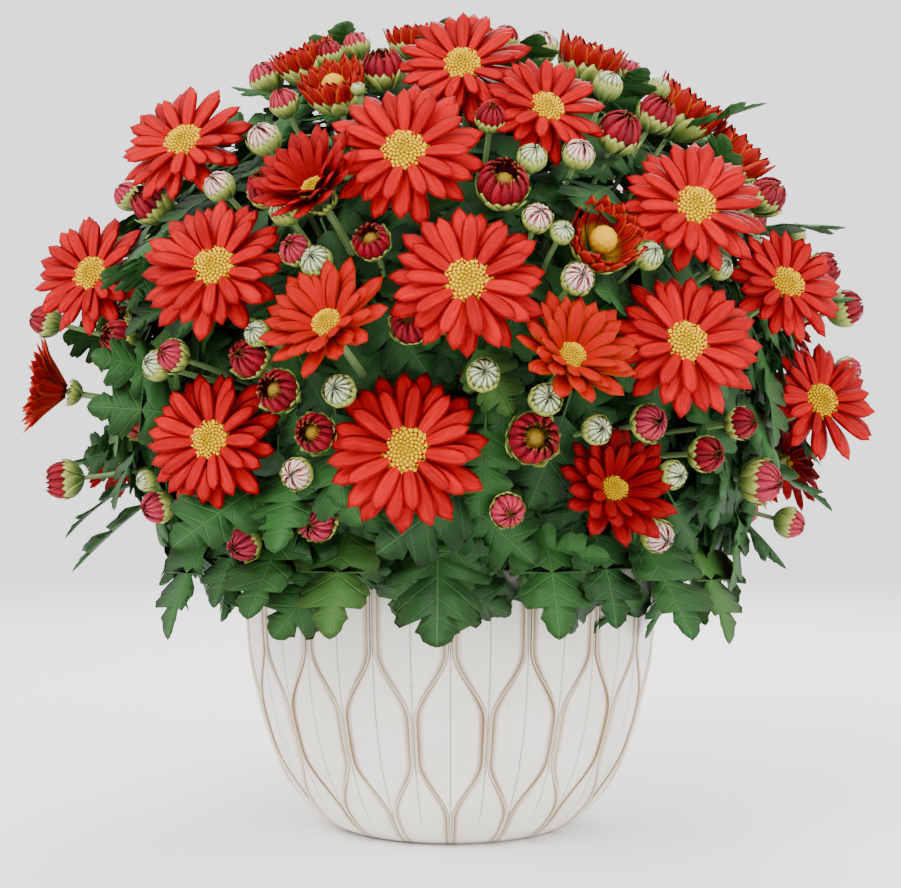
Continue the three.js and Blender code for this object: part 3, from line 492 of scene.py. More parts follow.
def soil():
    bend = FLOOR + FLOOR_CURVE
    walls = [(pot_radius(max(z, bend)) - WALL - SOIL_GAP - (CORNER_INSET if z < bend else 0), z)
             for z in SOIL_LEVELS]
    tops = [walls[-1][0] * share for share in SOIL_RINGS]
    a = np.arange(SOIL_SEGMENTS) * 2 * math.pi / SOIL_SEGMENTS
    ring = np.stack([np.sin(a), -np.cos(a)], 1)
    points = [np.c_[ring * r, np.full(SOIL_SEGMENTS, z)] for r, z in walls]
    points += [np.c_[ring * r, soil_height(*(ring * r).T)] for r in tops]
    body = mesh_object("soil_body", np.concatenate(points), ring_faces(len(points), SOIL_SEGMENTS))
    tree, source = geometry_group("Bark on soil", Spacing="Float", Seed="Int", Material="Material")
    spots = strewn_points(tree, source, 90000, Selection=tree.maths(
        "GREATER_THAN", tree.geometry("InputNormal")["Normal"], 0))
    chips = tree.geometry(
        "InstanceOnPoints", Points=spots, Instance=tree.geometry("MeshIcoSphere", Radius=0.5, Subdivisions=1),
        Rotation=tree.chance((0, 0, 0), (6.3, 6.3, 6.3), 0, "FLOAT_VECTOR"),
        Scale=tree.chance(*BARK_SIZES, 3, "FLOAT_VECTOR"))
    group = closed(tree, tree.joined(source["Geometry"], chips), source["Material"])
    values = {"Spacing": BARK_SPACING * MM, "Seed": 4, "Material": peat()}
    return grown("potting_soil", group, values, body.data)


dressed(soil(), "soil", "soil")

# Heads: where every bloom and bud of the plant stands. The blooms' places are read from
# the frame's own petals, and the buds are listed by azimuth from the front, height,
# thickness, kind and how far they stand out of the dome, in degrees and millimetres.
CENTRE_HEIGHT = 200
DOME_RADIUS = 165
DOME_WAIST = 215
DOME_RISE = 130
DOME_DROP = 140
CUTTINGS = 5
FIRST_CUTTING = -27
CUTTING_RING = 28
KEEL = 1.2
PAIR_SPACING = 37
TURN_TO_VIEW = 0.75
FACING_LIMIT = 0.05
PAIR_DROP = 0.8
GREEN, PALE, PINK, RED, OPENING, CUP = range(6)
BUDS = [
    (-52, 316, 14, PINK), (-34, 322, 11, RED), (-29, 290, 11, PINK), (-29, 273, 12, PALE),
    (-34, 255, 11, PALE), (-26, 252, 14, RED), (-68, 268, 12, PINK), (-53, 258, 17, OPENING),
    (-20, 227, 11, PINK), (-10, 229, 13, OPENING), (-5, 200, 14, RED), (-73, 216, 13, RED, 18),
    (-55, 204, 14, OPENING), (26, 324, 13, PALE), (53, 319, 12, PINK), (39, 290, 15, OPENING),
    (27, 276, 16, RED), (6, 277, 11, RED), (18, 263, 11, PALE), (16, 216, 11, PALE),
    (58, 263, 12, RED), (68, 268, 16, RED), (66, 286, 24, CUP, 5), (60, 304, 26, CUP, 6),
    (72, 238, 14, OPENING, 9), (74, 222, 15, RED, 15), (-40, 193, 12, PINK), (-27, 190, 14, RED),
    (-23, 178, 15, OPENING), (-51, 173, 18, RED), (-75, 150, 16, OPENING, 20),
    (-52, 138, 13, PINK), (-18, 163, 14, OPENING), (4, 182, 11, GREEN), (11, 161, 18, OPENING),
    (27, 167, 13, PINK), (44, 169, 12, RED), (38, 157, 13, RED), (56, 148, 17, PINK),
    (85, 199, 12, PINK, 17), (75, 132, 13, PINK, 8), (-35, 124, 13, PINK), (-20, 132, 14, PINK),
    (8, 136, 12, PINK), (34, 127, 12, PALE),
    (-15, 291, 5, GREEN), (-22, 242, 11, GREEN), (-17, 222, 11, GREEN), (-43, 190, 11, GREEN),
    (-25, 198, 9, GREEN), (-21, 149, 11, PALE), (-14, 177, 11, GREEN),
    (30, 299, 11, GREEN), (11, 260, 10, GREEN), (11, 237, 10, PALE), (14, 232, 8, GREEN),
    (26, 226, 10, GREEN), (38, 225, 9, GREEN), (12, 174, 11, GREEN), (19, 164, 10, GREEN),
    (32, 149, 10, GREEN), (71, 253, 8, GREEN), (-50, 148, 8, GREEN), (33, 329, 6, GREEN),
    (51, 309, 9, GREEN), (20, 332, 11, RED), (-32, 329, 11, PINK), (-18, 336, 17, CUP, 3),
    (16, 338, 16, CUP, 2), (-13, 304, 16, OPENING, 2), (7, 250, 18, OPENING, 2), (-43, 322, 21, CUP, 5),
    (41, 323, 23, CUP, 6), (-21, 296, 21, CUP, 4), (20, 231, 22, CUP, 4),
]
BACK_BUD_ROWS = [(322, 4), (300, 7), (268, 9), (230, 9), (196, 9), (164, 8), (136, 7)]
BACK_FROM = 92
BACK_SPREAD = 176
# How often each kind comes behind, its thickness, and how far it keeps from the blooms.
KIND_SHARES = (0.28, 0.14, 0.2, 0.2, 0.1, 0.08)
KIND_THICKNESS = (9, 11, 13, 14, 16, 22)
BUD_CLEARANCE = 6
BUD_LEVEL = 0.8
BUD_LIFT = 12


def place(azimuth, radius, height):
    a = math.radians(azimuth)
    return np.array([radius * math.sin(a), -radius * math.cos(a), height])


def facing(azimuth, elevation):
    e = math.radians(elevation)
    return place(azimuth, math.cos(e), math.sin(e))


def dome_radius(height):
    if height >= DOME_WAIST:
        return DOME_RADIUS * math.sqrt(max(1 - ((height - DOME_WAIST) / DOME_RISE) ** 2, 0))
    return DOME_RADIUS * math.sqrt(max(1 - ((DOME_WAIST - height) / DOME_DROP) ** 3, 0))


def dome_tilt(height):
    """Elevation in degrees of the dome's outward direction."""
    return math.degrees(math.atan((dome_radius(height - 2) - dome_radius(height + 2)) / 4))


def unit(vector):
    return np.asarray(vector) / np.linalg.norm(vector)


def head_of(points, **more):
    """A bloom's core, facing and width, from its petals' points, which lie evenly round it."""
    centre = points.mean(0)
    values, axes = np.linalg.eigh(np.cov((points - centre).T))
    face = axes[:, np.argmax(abs(values - values[1]))]
    along = (points - centre) @ face
    away = np.linalg.norm(points - centre - np.outer(along, face), axis=1)
    if np.cov(along, away)[0, 1] < 0:
        face, along = -face, -along
    core = centre + face * (along[away < 1].min() + KEEL)
    return {"core": core, "face": face, "width": 2 * away.max(), **more}


def cad_points(node):
    return np.array([v.co for v in frame["nodes"][node].data.vertices]) / MM


def turned_to_view(head, share):
    """The photo shows the front blooms turned further to the camera than the dome itself."""
    view = unit(np.array(CAMERA_PLACE) / MM - head["core"])
    if head["face"] @ view > FACING_LIMIT:
        head["face"] = unit(head["face"] + share * view)
    return head


heads = []
for node in sorted(frame["nodes"]):
    points = cad_points(node)
    if node.endswith("_petals"):
        head = head_of(points, node=node, disc=node.replace("petals", "disc"), opened=True)
        heads.append(turned_to_view(head, TURN_TO_VIEW))
    elif node.startswith("cupped_bloom"):
        head = head_of(points, node=node, disc=None, opened=False)
        heads.append(turned_to_view(head, TURN_TO_VIEW / 2))
    elif node.startswith("bloom_pair"):
        middle = points.mean(0)
        values, axes = np.linalg.eigh(np.cov((points - middle).T))
        for side in (-1, 1):
            half = points[(points - middle) @ axes[:, 2] * side > 0]
            face = axes[:, 0] if axes[:, 0] @ [*middle[:2], 0] > 0 else -axes[:, 0]
            core = middle + axes[:, 2] * side * PAIR_SPACING / 2
            width = 2 * ((half - core) @ axes[:, 2] * side).max()
            heads.append({"core": core - PAIR_DROP * face, "face": face, "width": width, "node": node,
                          "disc": None, "opened": True})

random = np.random.default_rng(7)
buds = list(BUDS)
for height, count in BACK_BUD_ROWS:
    for i in range(count):
        azimuth = BACK_FROM + (i + random.uniform(0, 0.8)) * BACK_SPREAD / count
        kind = int(random.choice(len(KIND_SHARES), p=KIND_SHARES))
        thickness = KIND_THICKNESS[kind] + random.uniform(-1, 1)
        centre = place(azimuth, dome_radius(height), height)
        if all(np.linalg.norm(centre - head["core"]) > head["width"] / 2 + BUD_CLEARANCE for head in heads):
            buds.append((azimuth, height + random.uniform(-6, 6), thickness, kind))


def bud_head(azimuth, height, thickness, kind, out=0):
    centre = place(azimuth, dome_radius(height) + out - thickness / 2, height)
    face = facing(azimuth, BUD_LEVEL * dome_tilt(height) + BUD_LIFT)
    return {"core": centre, "face": face, "width": thickness, "kind": kind}


bud_heads = [bud_head(*row) for row in buds]


def cutting_of(point):
    """The number of the cutting, from 0, whose wedge of the dome a point lies in."""
    azimuth = math.degrees(math.atan2(point[0], -point[1]))
    return int(((azimuth - FIRST_CUTTING) / (360 / CUTTINGS) + 0.5) // 1) % CUTTINGS


# Stems: each rooted cutting is a woody trunk that forks into pale green ribbed stems, one
# to every bloom and bud. They are swept along their paths by Geometry Nodes.
TRUNK_RADIUS = 3.4
TRUNK_TAPER = 0.7
TRUNK_RISE = 74
TRUNK_PULL = 24
TRUNK_SPREAD = 1.4
ROOT_HEIGHT = 86
LOWEST_FORK = 0.25
STEM_RADII = (2.4, 1.35)
STEM_END = 5
BUD_STEM_RADII = (1.8, 0.95)
BUD_STEM_END = 0.45
STEM_POINTS = 16
RIBS = 5


def curve_points(start, pull, head_pull, end):
    t = np.linspace(0, 1, STEM_POINTS)[:, None]
    return (1 - t) ** 3 * start + 3 * t * (1 - t) ** 2 * pull + 3 * t * t * (1 - t) * head_pull + t ** 3 * end


def stem_bark():
    tree = Skin("stem skin", Roughness=0.6, Subsurface_Weight=0.08, Subsurface_Scale=0.002)
    place = tree.place()
    noise = tree.noise(place, 120, 3)
    height = tree.node("ShaderNodeSeparateXYZ", {}, {"Vector": place})["Z"]
    colour = tree.painted(
        (0.055, 0.12, 0.025),
        (noise, (0.15, 0.24, 0.07)),
        (tree.attribute("rib") * 0.5, (0.22, 0.31, 0.12)),
        ((1 - tree.step(height, 0.11, 0.17)) * 0.8, (0.10, 0.075, 0.04)))
    return tree.feed(Base_Color=colour, Normal=tree.bump(0.3, 0.0004, noise))


def stem_group():
    tree, source = geometry_group("Ribbed stems", Material="Material")
    width = tree.named("width")
    path = tree.geometry("MeshToCurve", Mesh=source["Geometry"])
    path = tree.geometry("SetCurveRadius", Curve=path, Radius=width)
    section = tree.geometry("CurvePrimitiveCircle", {"mode": "RADIUS"}, Resolution=2 * RIBS, Radius=1)
    ridge = tree.maths("MODULO", tree.geometry("InputIndex"), 2)
    spot = tree.scaled(tree.geometry("InputPosition"), 0.88 + 0.2 * ridge)
    section = tree.stored(tree.geometry("SetPosition", Geometry=section, Position=spot), "rib", ridge)
    tube = tree.geometry("CurveToMesh", Curve=path, Profile_Curve=section, Fill_Caps=True, Scale=width)
    return closed(tree, tube, source["Material"])


def stems(cutting, group, material):
    points, edges, widths = [], [], []
    root = place(FIRST_CUTTING + 360 / CUTTINGS * cutting, CUTTING_RING, ROOT_HEIGHT)

    def add(path, radii):
        first = len(points)
        points.extend(path)
        widths.extend(np.linspace(radii[0], radii[1], len(path)) * MM)
        edges.extend((first + i, first + i + 1) for i in range(len(path) - 1))

    crown = root * [TRUNK_SPREAD, TRUNK_SPREAD, 1] + [0, 0, TRUNK_RISE]
    pull = np.array([0, 0, TRUNK_PULL])
    add(curve_points(root, root + pull, crown - pull, crown), (TRUNK_RADIUS, TRUNK_RADIUS * TRUNK_TAPER))
    for head in heads + bud_heads:
        if cutting_of(head["core"]) == cutting:
            bloom = "kind" not in head
            end = head["core"] - head["face"] * (STEM_END if bloom else BUD_STEM_END * head["width"])
            fork = root + (crown - root) * random.uniform(LOWEST_FORK, 1)
            reach = np.linalg.norm(end - fork)
            path = curve_points(fork, fork + [0, 0, 0.3 * reach], end - head["face"] * 0.4 * reach, end)
            add(path, STEM_RADII if bloom else BUD_STEM_RADII)
    mesh = bpy.data.meshes.new("paths")
    mesh.from_pydata((np.array(points) * MM).tolist(), edges, [])
    mesh.attributes.new("width", "FLOAT", "POINT").data.foreach_set("value", widths)
    return grown(f"cutting_{cutting + 1}_stems", group, {"Material": material}, mesh)


stem_shape = stem_group()
stem_material = stem_bark()
for cutting in range(CUTTINGS):
    dressed(stems(cutting, stem_shape, stem_material), "foliage", f"leafy_stem_{cutting + 1}")

# Leaves: soft thin blades with two pairs of toothed lobes and a toothed tip, on a short
# stalk, with pale veins that run into every lobe. Some hang over the rim, where the photo
# shows them; the others are strewn over shells of the dome and keep clear of the blooms.
LEAF_EDGE = [
    (0, 0.02), (0.2, 0.022), (0.23, 0.10), (0.29, 0.26), (0.34, 0.40), (0.40, 0.455), (0.445, 0.43),
    (0.495, 0.49), (0.555, 0.455), (0.56, 0.38), (0.525, 0.24), (0.50, 0.125), (0.57, 0.20), (0.64, 0.35),
    (0.70, 0.41), (0.735, 0.37), (0.785, 0.395), (0.83, 0.34), (0.79, 0.20), (0.745, 0.10), (0.82, 0.16),
    (0.88, 0.205), (0.905, 0.155), (0.95, 0.13), (0.985, 0.06), (1, 0),
]
LEAF_RIB = [0.0, 0.2, 0.32, 0.44, 0.54, 0.66, 0.78, 0.87, 0.94]
LEAF_THICKNESS = 0.012
LEAF_WIDTH = 0.72
LEAF_LENGTH = 43
LEAF_FORMS = [(0.16, -0.10, 0.05), (0.30, 0.10, 0.07), (0.10, 0.16, 0.04), (0.22, -0.22, 0.06)]
SHELLS = (0.865, 0.80, 0.72)
SHELL_SPACING = 12.5
SHELL_HEIGHTS = (104, 341)
HEAD_CLEARANCE = 20
BEFORE_HEADS = (0, 14)
SKIRT_LEAVES = [
    (-92, 178, 159, 44), (-81, 166, 134, 40), (-73, 160, 115, 46), (-56, 140, 98, 48),
    (-43, 134, 108, 36), (-31, 140, 102, 48), (-19, 138, 101, 44), (-2, 140, 98, 50),
    (17, 138, 101, 44), (27, 137, 103, 40), (38, 142, 94, 48), (54, 140, 96, 46),
    (71, 146, 120, 42), (90, 168, 146, 42), (103, 142, 104, 46), (119, 144, 98, 46),
    (140, 144, 104, 46), (160, 142, 100, 48), (178, 148, 110, 42), (-164, 140, 97, 46),
    (-145, 144, 104, 44), (-126, 142, 100, 48), (-109, 148, 110, 44),
]
LEAF_VEINS = [(0.24, 0.42), (0.42, 0.5), (0.56, 0.42), (0.70, 0.36), (0.82, 0.2)]
# Where each leaf is tried for clearance, and the share of it kept from heads and from buds.
LEAF_TRIALS = (0, 0.35, 0.65, 1)
TRIAL_REACHES = {"Heads": (1, 1, 1, 0.85), "Buds": (0.35, 0.5, 0.6, 0.5)}
# Hung leaves: the tip height of the lowest, how fast the drop eases off above it, how far
# their tips turn up, and their size against the listed length.
SKIRT_LEVEL = 95
SKIRT_EASE = 90
SKIRT_UPTURN = 6
SKIRT_SCALE = 1.12


def shaped(name, points, uvs, faces):
    """A shape that Geometry Nodes repeat, in its own unit, with a UV for each point."""
    mesh = bpy.data.meshes.new(name)
    mesh.from_pydata([tuple(p) for p in points], [], faces)
    mesh.shade_smooth()
    layer = mesh.uv_layers.new(name="UVMap")
    corners = np.empty(len(mesh.loops), dtype=int)
    mesh.loops.foreach_get("vertex_index", corners)
    layer.data.foreach_set("uv", np.asarray(uvs, dtype=float)[corners].ravel())
    return bpy.data.objects.new(name, mesh)


def shape_collection(name, shapes):
    collection = bpy.data.collections.new(name)
    for shape in shapes:
        collection.objects.link(shape)
    return collection


def leaf_shape(number, droop, fold, wave):
    """A closed blade of length 1: two sheets that share the outline and part at the rib."""
    def at(along, aside, side):
        rise = fold * aside - droop * along ** 2 + wave * math.sin(14 * along + 2 * number) * aside
        return (along, side * aside * LEAF_WIDTH, rise)

    outline = [[at(*edge, side) for edge in LEAF_EDGE[:-1]] for side in (1, -1)]
    points = outline[0] + outline[1] + [at(1, 0, 1)]
    count = len(LEAF_EDGE) - 1
    tip = 2 * count
    shares = LEAF_EDGE[:-1] * 2 + [LEAF_EDGE[-1]]
    uvs = [(along, 0.5 + (0.5 if i < count else -0.5) * 2 * aside) for i, (along, aside) in enumerate(shares)]
    faces = []
    for sheet in (1, -1):
        rib = list(range(len(points), len(points) + len(LEAF_RIB)))
        for along in LEAF_RIB:
            x, y, z = at(along, 0, 1)
            points.append((x, y, z + sheet * LEAF_THICKNESS / 2))
            uvs.append((along, 0.5))
        for side in (0, 1):
            edge = [side * count + i for i in range(count)] + [tip]
            near, fan = 0, []
            for along, _ in LEAF_EDGE:
                while near < len(LEAF_RIB) - 1 and LEAF_RIB[near + 1] <= along + 0.03:
                    near += 1
                fan.append(near)
            for i in range(count):
                face = [(rib[fan[i]], edge[i + 1], edge[i])]
                if fan[i + 1] != fan[i]:
                    face.append((rib[fan[i]], rib[fan[i + 1]], edge[i + 1]))
                flip = (side == 1) != (sheet == -1)
                faces += [f[::-1] if flip else f for f in face]
    return shaped(f"leaf_{number}", points, uvs, faces)


def leaf_skin():
    tree = Skin("leaf", Roughness=0.5, Subsurface_Weight=0.06, Subsurface_Scale=0.0015,
                Specular_IOR_Level=0.22)
    place = tree.place()
    noise = tree.noise(place, 90, 4)
    fine = tree.noise(place, 700, 2)
    along, across = tree.uv()
    aside = tree.maths("ABSOLUTE", across - 0.5)
    fade = 1 - tree.step(aside, 0.2, 0.48)
    vein = 1 - tree.step(aside, 0.004, 0.014)
    for start, slope in LEAF_VEINS:
        line = tree.maths("ABSOLUTE", along - start - slope * aside * 1.1)
        vein = tree.maths("MAXIMUM", vein, (1 - tree.step(line, 0.002, 0.012)) * fade * 0.4)
    tint = tree.attribute("tint")
    green = tree.painted(
        (0.0042, 0.029, 0.0045),
        (tint, (0.016, 0.078, 0.011)),
        (tree.step(noise, 0.35, 0.75) * 0.45, (0.021, 0.080, 0.013)),
        (tree.step(tint, 0.93, 1) * 0.4, (0.07, 0.14, 0.02)),
        (vein * 0.45, (0.06, 0.15, 0.035)))
    bump = tree.bump(0.7, 0.0009, noise + 0.25 * fine - 0.9 * vein)
    return tree.feed(Base_Color=green, Roughness=0.5 + 0.22 * noise, Normal=bump)


def turned(tree, along, upper):
    """The rotation that lays a shape's X along one vector and its Z towards another."""
    lying = tree.node("FunctionNodeAlignRotationToVector", {"axis": "X"}, {"Vector": along})
    return tree.node("FunctionNodeAlignRotationToVector", {"axis": "Z", "pivot_axis": "X"},
                     {"Rotation": lying, "Vector": upper})


def planted(tree, points, shapes, rotation, scale, index=None, seed=0):
    """Sets shapes from a collection on points, each with a random tint."""
    children = tree.geometry("CollectionInfo", Collection=shapes, Separate_Children=True, Reset_Children=True)
    standing = tree.geometry(
        "InstanceOnPoints", Points=points, Instance=children, Pick_Instance=True,
        Instance_Index=index or tree.chance(0, 99, seed, "INT"), Rotation=rotation, Scale=scale)
    return tree.stored(standing, "tint", tree.chance(0, 1, seed + 1), "INSTANCE")


def leafage_group():
    """Leaves on points strewn over the faces of a shell, with the hung ones joined in."""
    tree, source = geometry_group(
        "Leafage", Spacing="Float", Seed="Int", Leaves="Collection", Heads="Object", Buds="Object",
        Hung="Object", Clearance="Float", Length="Float", Material="Material")
    strewn = strewn_points(tree, source, 12000)
    outward = strewn["Normal"]
    inward = tree.scaled(outward, tree.vector("DOT_PRODUCT", outward, (0, 0, 1))["Value"])
    down = tree.vector("SUBTRACT", inward, (0, 0, 1))
    stray = tree.chance((-0.7, -0.7, -0.7), (0.7, 0.7, 0.7), 5, "FLOAT_VECTOR")
    stray = tree.vector("SUBTRACT", stray, tree.scaled(
        outward, tree.vector("DOT_PRODUCT", outward, stray)["Value"] * 0.8))
    along = tree.vector("ADD", tree.scaled(outward, tree.chance(0.0, 0.38, 6)), tree.scaled(down, 0.6))
    along = tree.vector("NORMALIZE", tree.vector("ADD", along, stray))
    upper = tree.vector("ADD", outward, (0, 0, 0.35))
    size = source["Length"] * tree.chance(0.72, 1.12, 7)
    base = tree.geometry("InputPosition")
    crowded = 0
    for label, reaches in TRIAL_REACHES.items():
        middles = tree.geometry("ObjectInfo", Object=source[label])["Geometry"]
        for share, reach in zip(LEAF_TRIALS, reaches):
            spot = tree.vector("ADD", base, tree.scaled(along, size * share))
            near = tree.geometry("Proximity", {"target_element": "POINTS"},
                                 Geometry=middles, Sample_Position=spot)["Distance"]
            crowded = crowded + tree.maths("LESS_THAN", near, source["Clearance"] * reach)
    clear = tree.geometry("DeleteGeometry", {"domain": "POINT"}, Geometry=strewn,
                          Selection=tree.maths("GREATER_THAN", crowded, 0.5))
    leaves = planted(tree, clear, source["Leaves"], turned(tree, along, upper), size, seed=8)
    hung = tree.geometry("ObjectInfo", Object=source["Hung"])["Geometry"]
    lie = turned(tree, tree.named("along", "FLOAT_VECTOR"), tree.named("upper", "FLOAT_VECTOR"))
    hanging = planted(tree, hung, source["Leaves"], lie, tree.named("length"), seed=12)
    return closed(tree, tree.joined(leaves, hanging), source["Material"])


def dome_shells(cutting):
    """The wedge of each shell that one cutting's leaves grow from."""
    points, faces = [], []
    heights = np.linspace(*SHELL_HEIGHTS, 22)
    turns = np.linspace(-0.5, 0.5, 11) * 360 / CUTTINGS + FIRST_CUTTING + cutting * 360 / CUTTINGS
    for share in SHELLS:
        first = len(points)
        for height in heights:
            for azimuth in turns:
                point = place(azimuth, dome_radius(height), height)
                points.append(share * (point - [0, 0, CENTRE_HEIGHT]) + [0, 0, CENTRE_HEIGHT])
        across = len(turns)
        faces += [(first + r * across + i, first + r * across + i + 1,
                   first + (r + 1) * across + i + 1, first + (r + 1) * across + i)
                  for r in range(len(heights) - 1) for i in range(across - 1)]
    return points, faces


def point_object(name, points, **attributes):
    """Points in millimetres, with named numbers or vectors, as an object for a group to read."""
    mesh = bpy.data.meshes.new(name)
    mesh.from_pydata((np.reshape(points, (-1, 3)) * MM).tolist(), [], [])
    for key, values in attributes.items():
        kind, field = {1: ("FLOAT", "value"), 2: ("FLOAT_VECTOR", "vector")}[np.ndim(values)]
        mesh.attributes.new(key, kind, "POINT").data.foreach_set(field, np.ravel(values))
    return bpy.data.objects.new(name, mesh)


def hung_leaves(cutting):
    bases, alongs, uppers, lengths = [], [], [], []
    for azimuth, tip_radius, tip_height, length in SKIRT_LEAVES:
        drop = float(np.clip(0.9 - (tip_height - SKIRT_LEVEL) / SKIRT_EASE, 0.1, 0.8))
        tip = place(azimuth, tip_radius, tip_height)
        base = place(azimuth, tip_radius - length * math.sqrt(1 - drop * drop), tip_height + length * drop)
        if cutting_of(base) == cutting:
            bases.append(base)
            alongs.append(tip - base + [0, 0, SKIRT_UPTURN])
            uppers.append(place(azimuth, 0.5, 1))
            lengths.append(length * SKIRT_SCALE * MM)
    return point_object("hung", bases, along=alongs, upper=uppers, length=lengths)


leaf_shapes = shape_collection("leaves", [leaf_shape(i, *form) for i, form in enumerate(LEAF_FORMS)])
head_points = point_object(
    "heads", [head["core"] + out * head["face"] for head in heads for out in BEFORE_HEADS])
bud_points = point_object("buds", [head["core"] for head in bud_heads])
leafage = leafage_group()
leaf_material = leaf_skin()
for cutting in range(CUTTINGS):
    base = bpy.data.meshes.new("shells")
    points, faces = dome_shells(cutting)
    base.from_pydata((np.array(points) * MM).tolist(), [], faces)
    leaves = grown(f"cutting_{cutting + 1}_leaves", leafage, {
        "Spacing": SHELL_SPACING * MM, "Seed": 20 + cutting, "Leaves": leaf_shapes, "Heads": head_points,
        "Buds": bud_points, "Hung": hung_leaves(cutting), "Clearance": HEAD_CLEARANCE * MM,
        "Length": LEAF_LENGTH * MM,
        "Material": leaf_material}, base)
    dressed(leaves, "foliage", f"leafy_stem_{cutting + 1}")

# Buds and calyxes: every head sits in a green cup of pointed bracts. A bud is two whorls of
# petals wrapped into a ball, pale green while young and crimson as it opens.
BRACT_COUNT = 9
BUD_PETALS = 13
BUD_STRIP_ROWS = 6
BUD_STRIP_COLUMNS = 2
# How far round a bud, in degrees from its middle upwards, its bracts and petals reach.
BRACT_REACH = (36, 24, 16, 8, 2, -8, 0)
PETAL_REACH = (84, 84, 82, 80, 58, 38)
CUP_FLARE = 0.26
CALYX_SIZE = 11
BUD_HEART = 0.23
CALYX_HEART = 0.1
CALYX_DROP = 0.02
BLOOM_CALYX = 6
BRACT_FLARE = 0.02
STRIP_THICKNESS = 0.03
BRACT_LAYERS = (1.0, 1.05)
BUD_LAYERS = (0.93, 0.8)
# In which order a face takes its corners, as steps along a blade and across it.
ACROSS_FIRST = ((0, 0), (0, 1), (1, 1), (1, 0))
ALONG_FIRST = ((0, 0), (1, 0), (1, 1), (0, 1))


def blade(name, rows, columns, at, corners, pointed=False):
    """A closed blade of two sheets that share their outline. Its points are given by
    at(t, v, sheet, rim), with t from 0 to 1 along it and v from -1 to 1 across it."""
    points, uvs, index = [], [], {}
    for sheet in (1, -1):
        for r in range(rows + 1):
            for c in range(columns + 1):
                t, v = r / rows, 2 * c / columns - 1
                rim = r in (0, rows) or c in (0, columns)
                if pointed and r == rows and c > 0:
                    index[sheet, r, c] = index[sheet, r, 0]
                elif sheet == -1 and rim:
                    index[sheet, r, c] = index[1, r, c]
                else:
                    index[sheet, r, c] = len(points)
                    points.append(at(t, v, sheet, rim))
                    uvs.append((t, 0.5 + 0.5 * v))
    faces = []
    for sheet in (1, -1):
        for r in range(rows):
            for c in range(columns):
                face = list(dict.fromkeys(index[sheet, r + up, c + aside] for up, aside in corners))
                faces.append(face[::sheet])
    return shaped(name, points, uvs, faces)


def strip_shape(name, bottom, top, width, bulge, flare):
    """A closed blade bent round a ball of thickness 1, from its foot to its top."""
    def at(t, v, sheet, rim):
        angle = math.radians(bottom + (top - bottom) * t)
        radius = 0.5 * math.cos(angle) + flare * t ** 3
        half = width * radius * (math.sin(math.pi * min(t * 0.75 + 0.2, 1)) ** 0.7 if t < 1 else 0.12)
        out = bulge * (1 - v * v) + sheet * STRIP_THICKNESS / 2
        turn = v * half / max(radius, 0.1)
        x = (radius + out * math.cos(angle)) * math.cos(turn)
        return x, (radius + out) * math.sin(turn), 0.5 * math.sin(angle) + out * math.sin(angle)

    return blade(name, BUD_STRIP_ROWS, BUD_STRIP_COLUMNS, at, ACROSS_FIRST)


def whorl(tree, blades, count, spin, lift, reach, height, start, seed, stray=0.06):
    """Blades set evenly round the Z axis, each turned, lifted and sized a little by chance."""
    turn = tree.geometry("InputIndex") / count * 2 * math.pi + spin + tree.chance(-stray, stray, seed)
    spot = tree.point(tree.maths("COSINE", turn) * start, tree.maths("SINE", turn) * start, height)
    points = tree.geometry("SetPosition", Geometry=tree.geometry("Points", Count=count), Position=spot)
    rise = tree.chance(-1.3 * stray, 1.3 * stray, seed + 2) - lift
    rotation = tree.point(tree.chance(-2.5 * stray, 2.5 * stray, seed + 1), rise, turn)
    size = reach * tree.chance(1 - stray, 1 + 0.7 * stray, seed + 3)
    return planted(tree, points, blades, rotation, size, seed=seed + 4)


def rings_group(name, count, layers, heart):
    """Whorls of strips round a ball as one closed head: each layer's share of the size."""
    tree, source = geometry_group(name, Strips="Collection", Seed="Int")
    rings = [
        whorl(tree, source["Strips"], count, layer * math.pi / count, 0, share, 0, 0,
              source["Seed"] + 10 * layer, stray=0.05)
        for layer, share in enumerate(layers)]
    return closed(tree, tree.joined(*rings, tree.geometry("MeshIcoSphere", Radius=heart, Subdivisions=2)))


def heads_group():
    """Ready heads on points, each turned to its facing and sized, picked by its kind."""
    tree, source = geometry_group("Heads on stems", Heads="Collection", Seed="Int", Material="Material")
    rotation = tree.node("FunctionNodeAlignRotationToVector", {"axis": "Z"},
                         {"Vector": tree.named("face", "FLOAT_VECTOR")})
    spin = tree.point(0, 0, tree.chance(0, 6.28, 3))
    rotation = tree.node("FunctionNodeRotateRotation", {"rotation_space": "LOCAL"},
                         {"Rotation": rotation, "Rotate By": spin})
    kind = tree.node("FunctionNodeFloatToInt", {}, {"Float": tree.named("kind")})
    standing = planted(tree, source["Geometry"], source["Heads"], rotation, tree.named("size"), kind,
                       source["Seed"])
    return closed(tree, tree.stored(standing, "ripe", tree.named("kind"), "INSTANCE"), source["Material"])


def bract_skin():
    tree = Skin("bract", Roughness=0.55, Subsurface_Weight=0.06, Subsurface_Scale=0.001)
    along, across = tree.uv()
    edge = tree.step(tree.maths("ABSOLUTE", across - 0.5), 0.26, 0.5)
    green = tree.painted(
        (0.055, 0.125, 0.018),
        (tree.attribute("tint"), (0.12, 0.20, 0.035)),
        (tree.step(along, 0.45, 0.95) * 0.8, (0.34, 0.36, 0.05)),
        (edge * 0.5, (0.34, 0.38, 0.14)))
    return tree.feed(Base_Color=green)


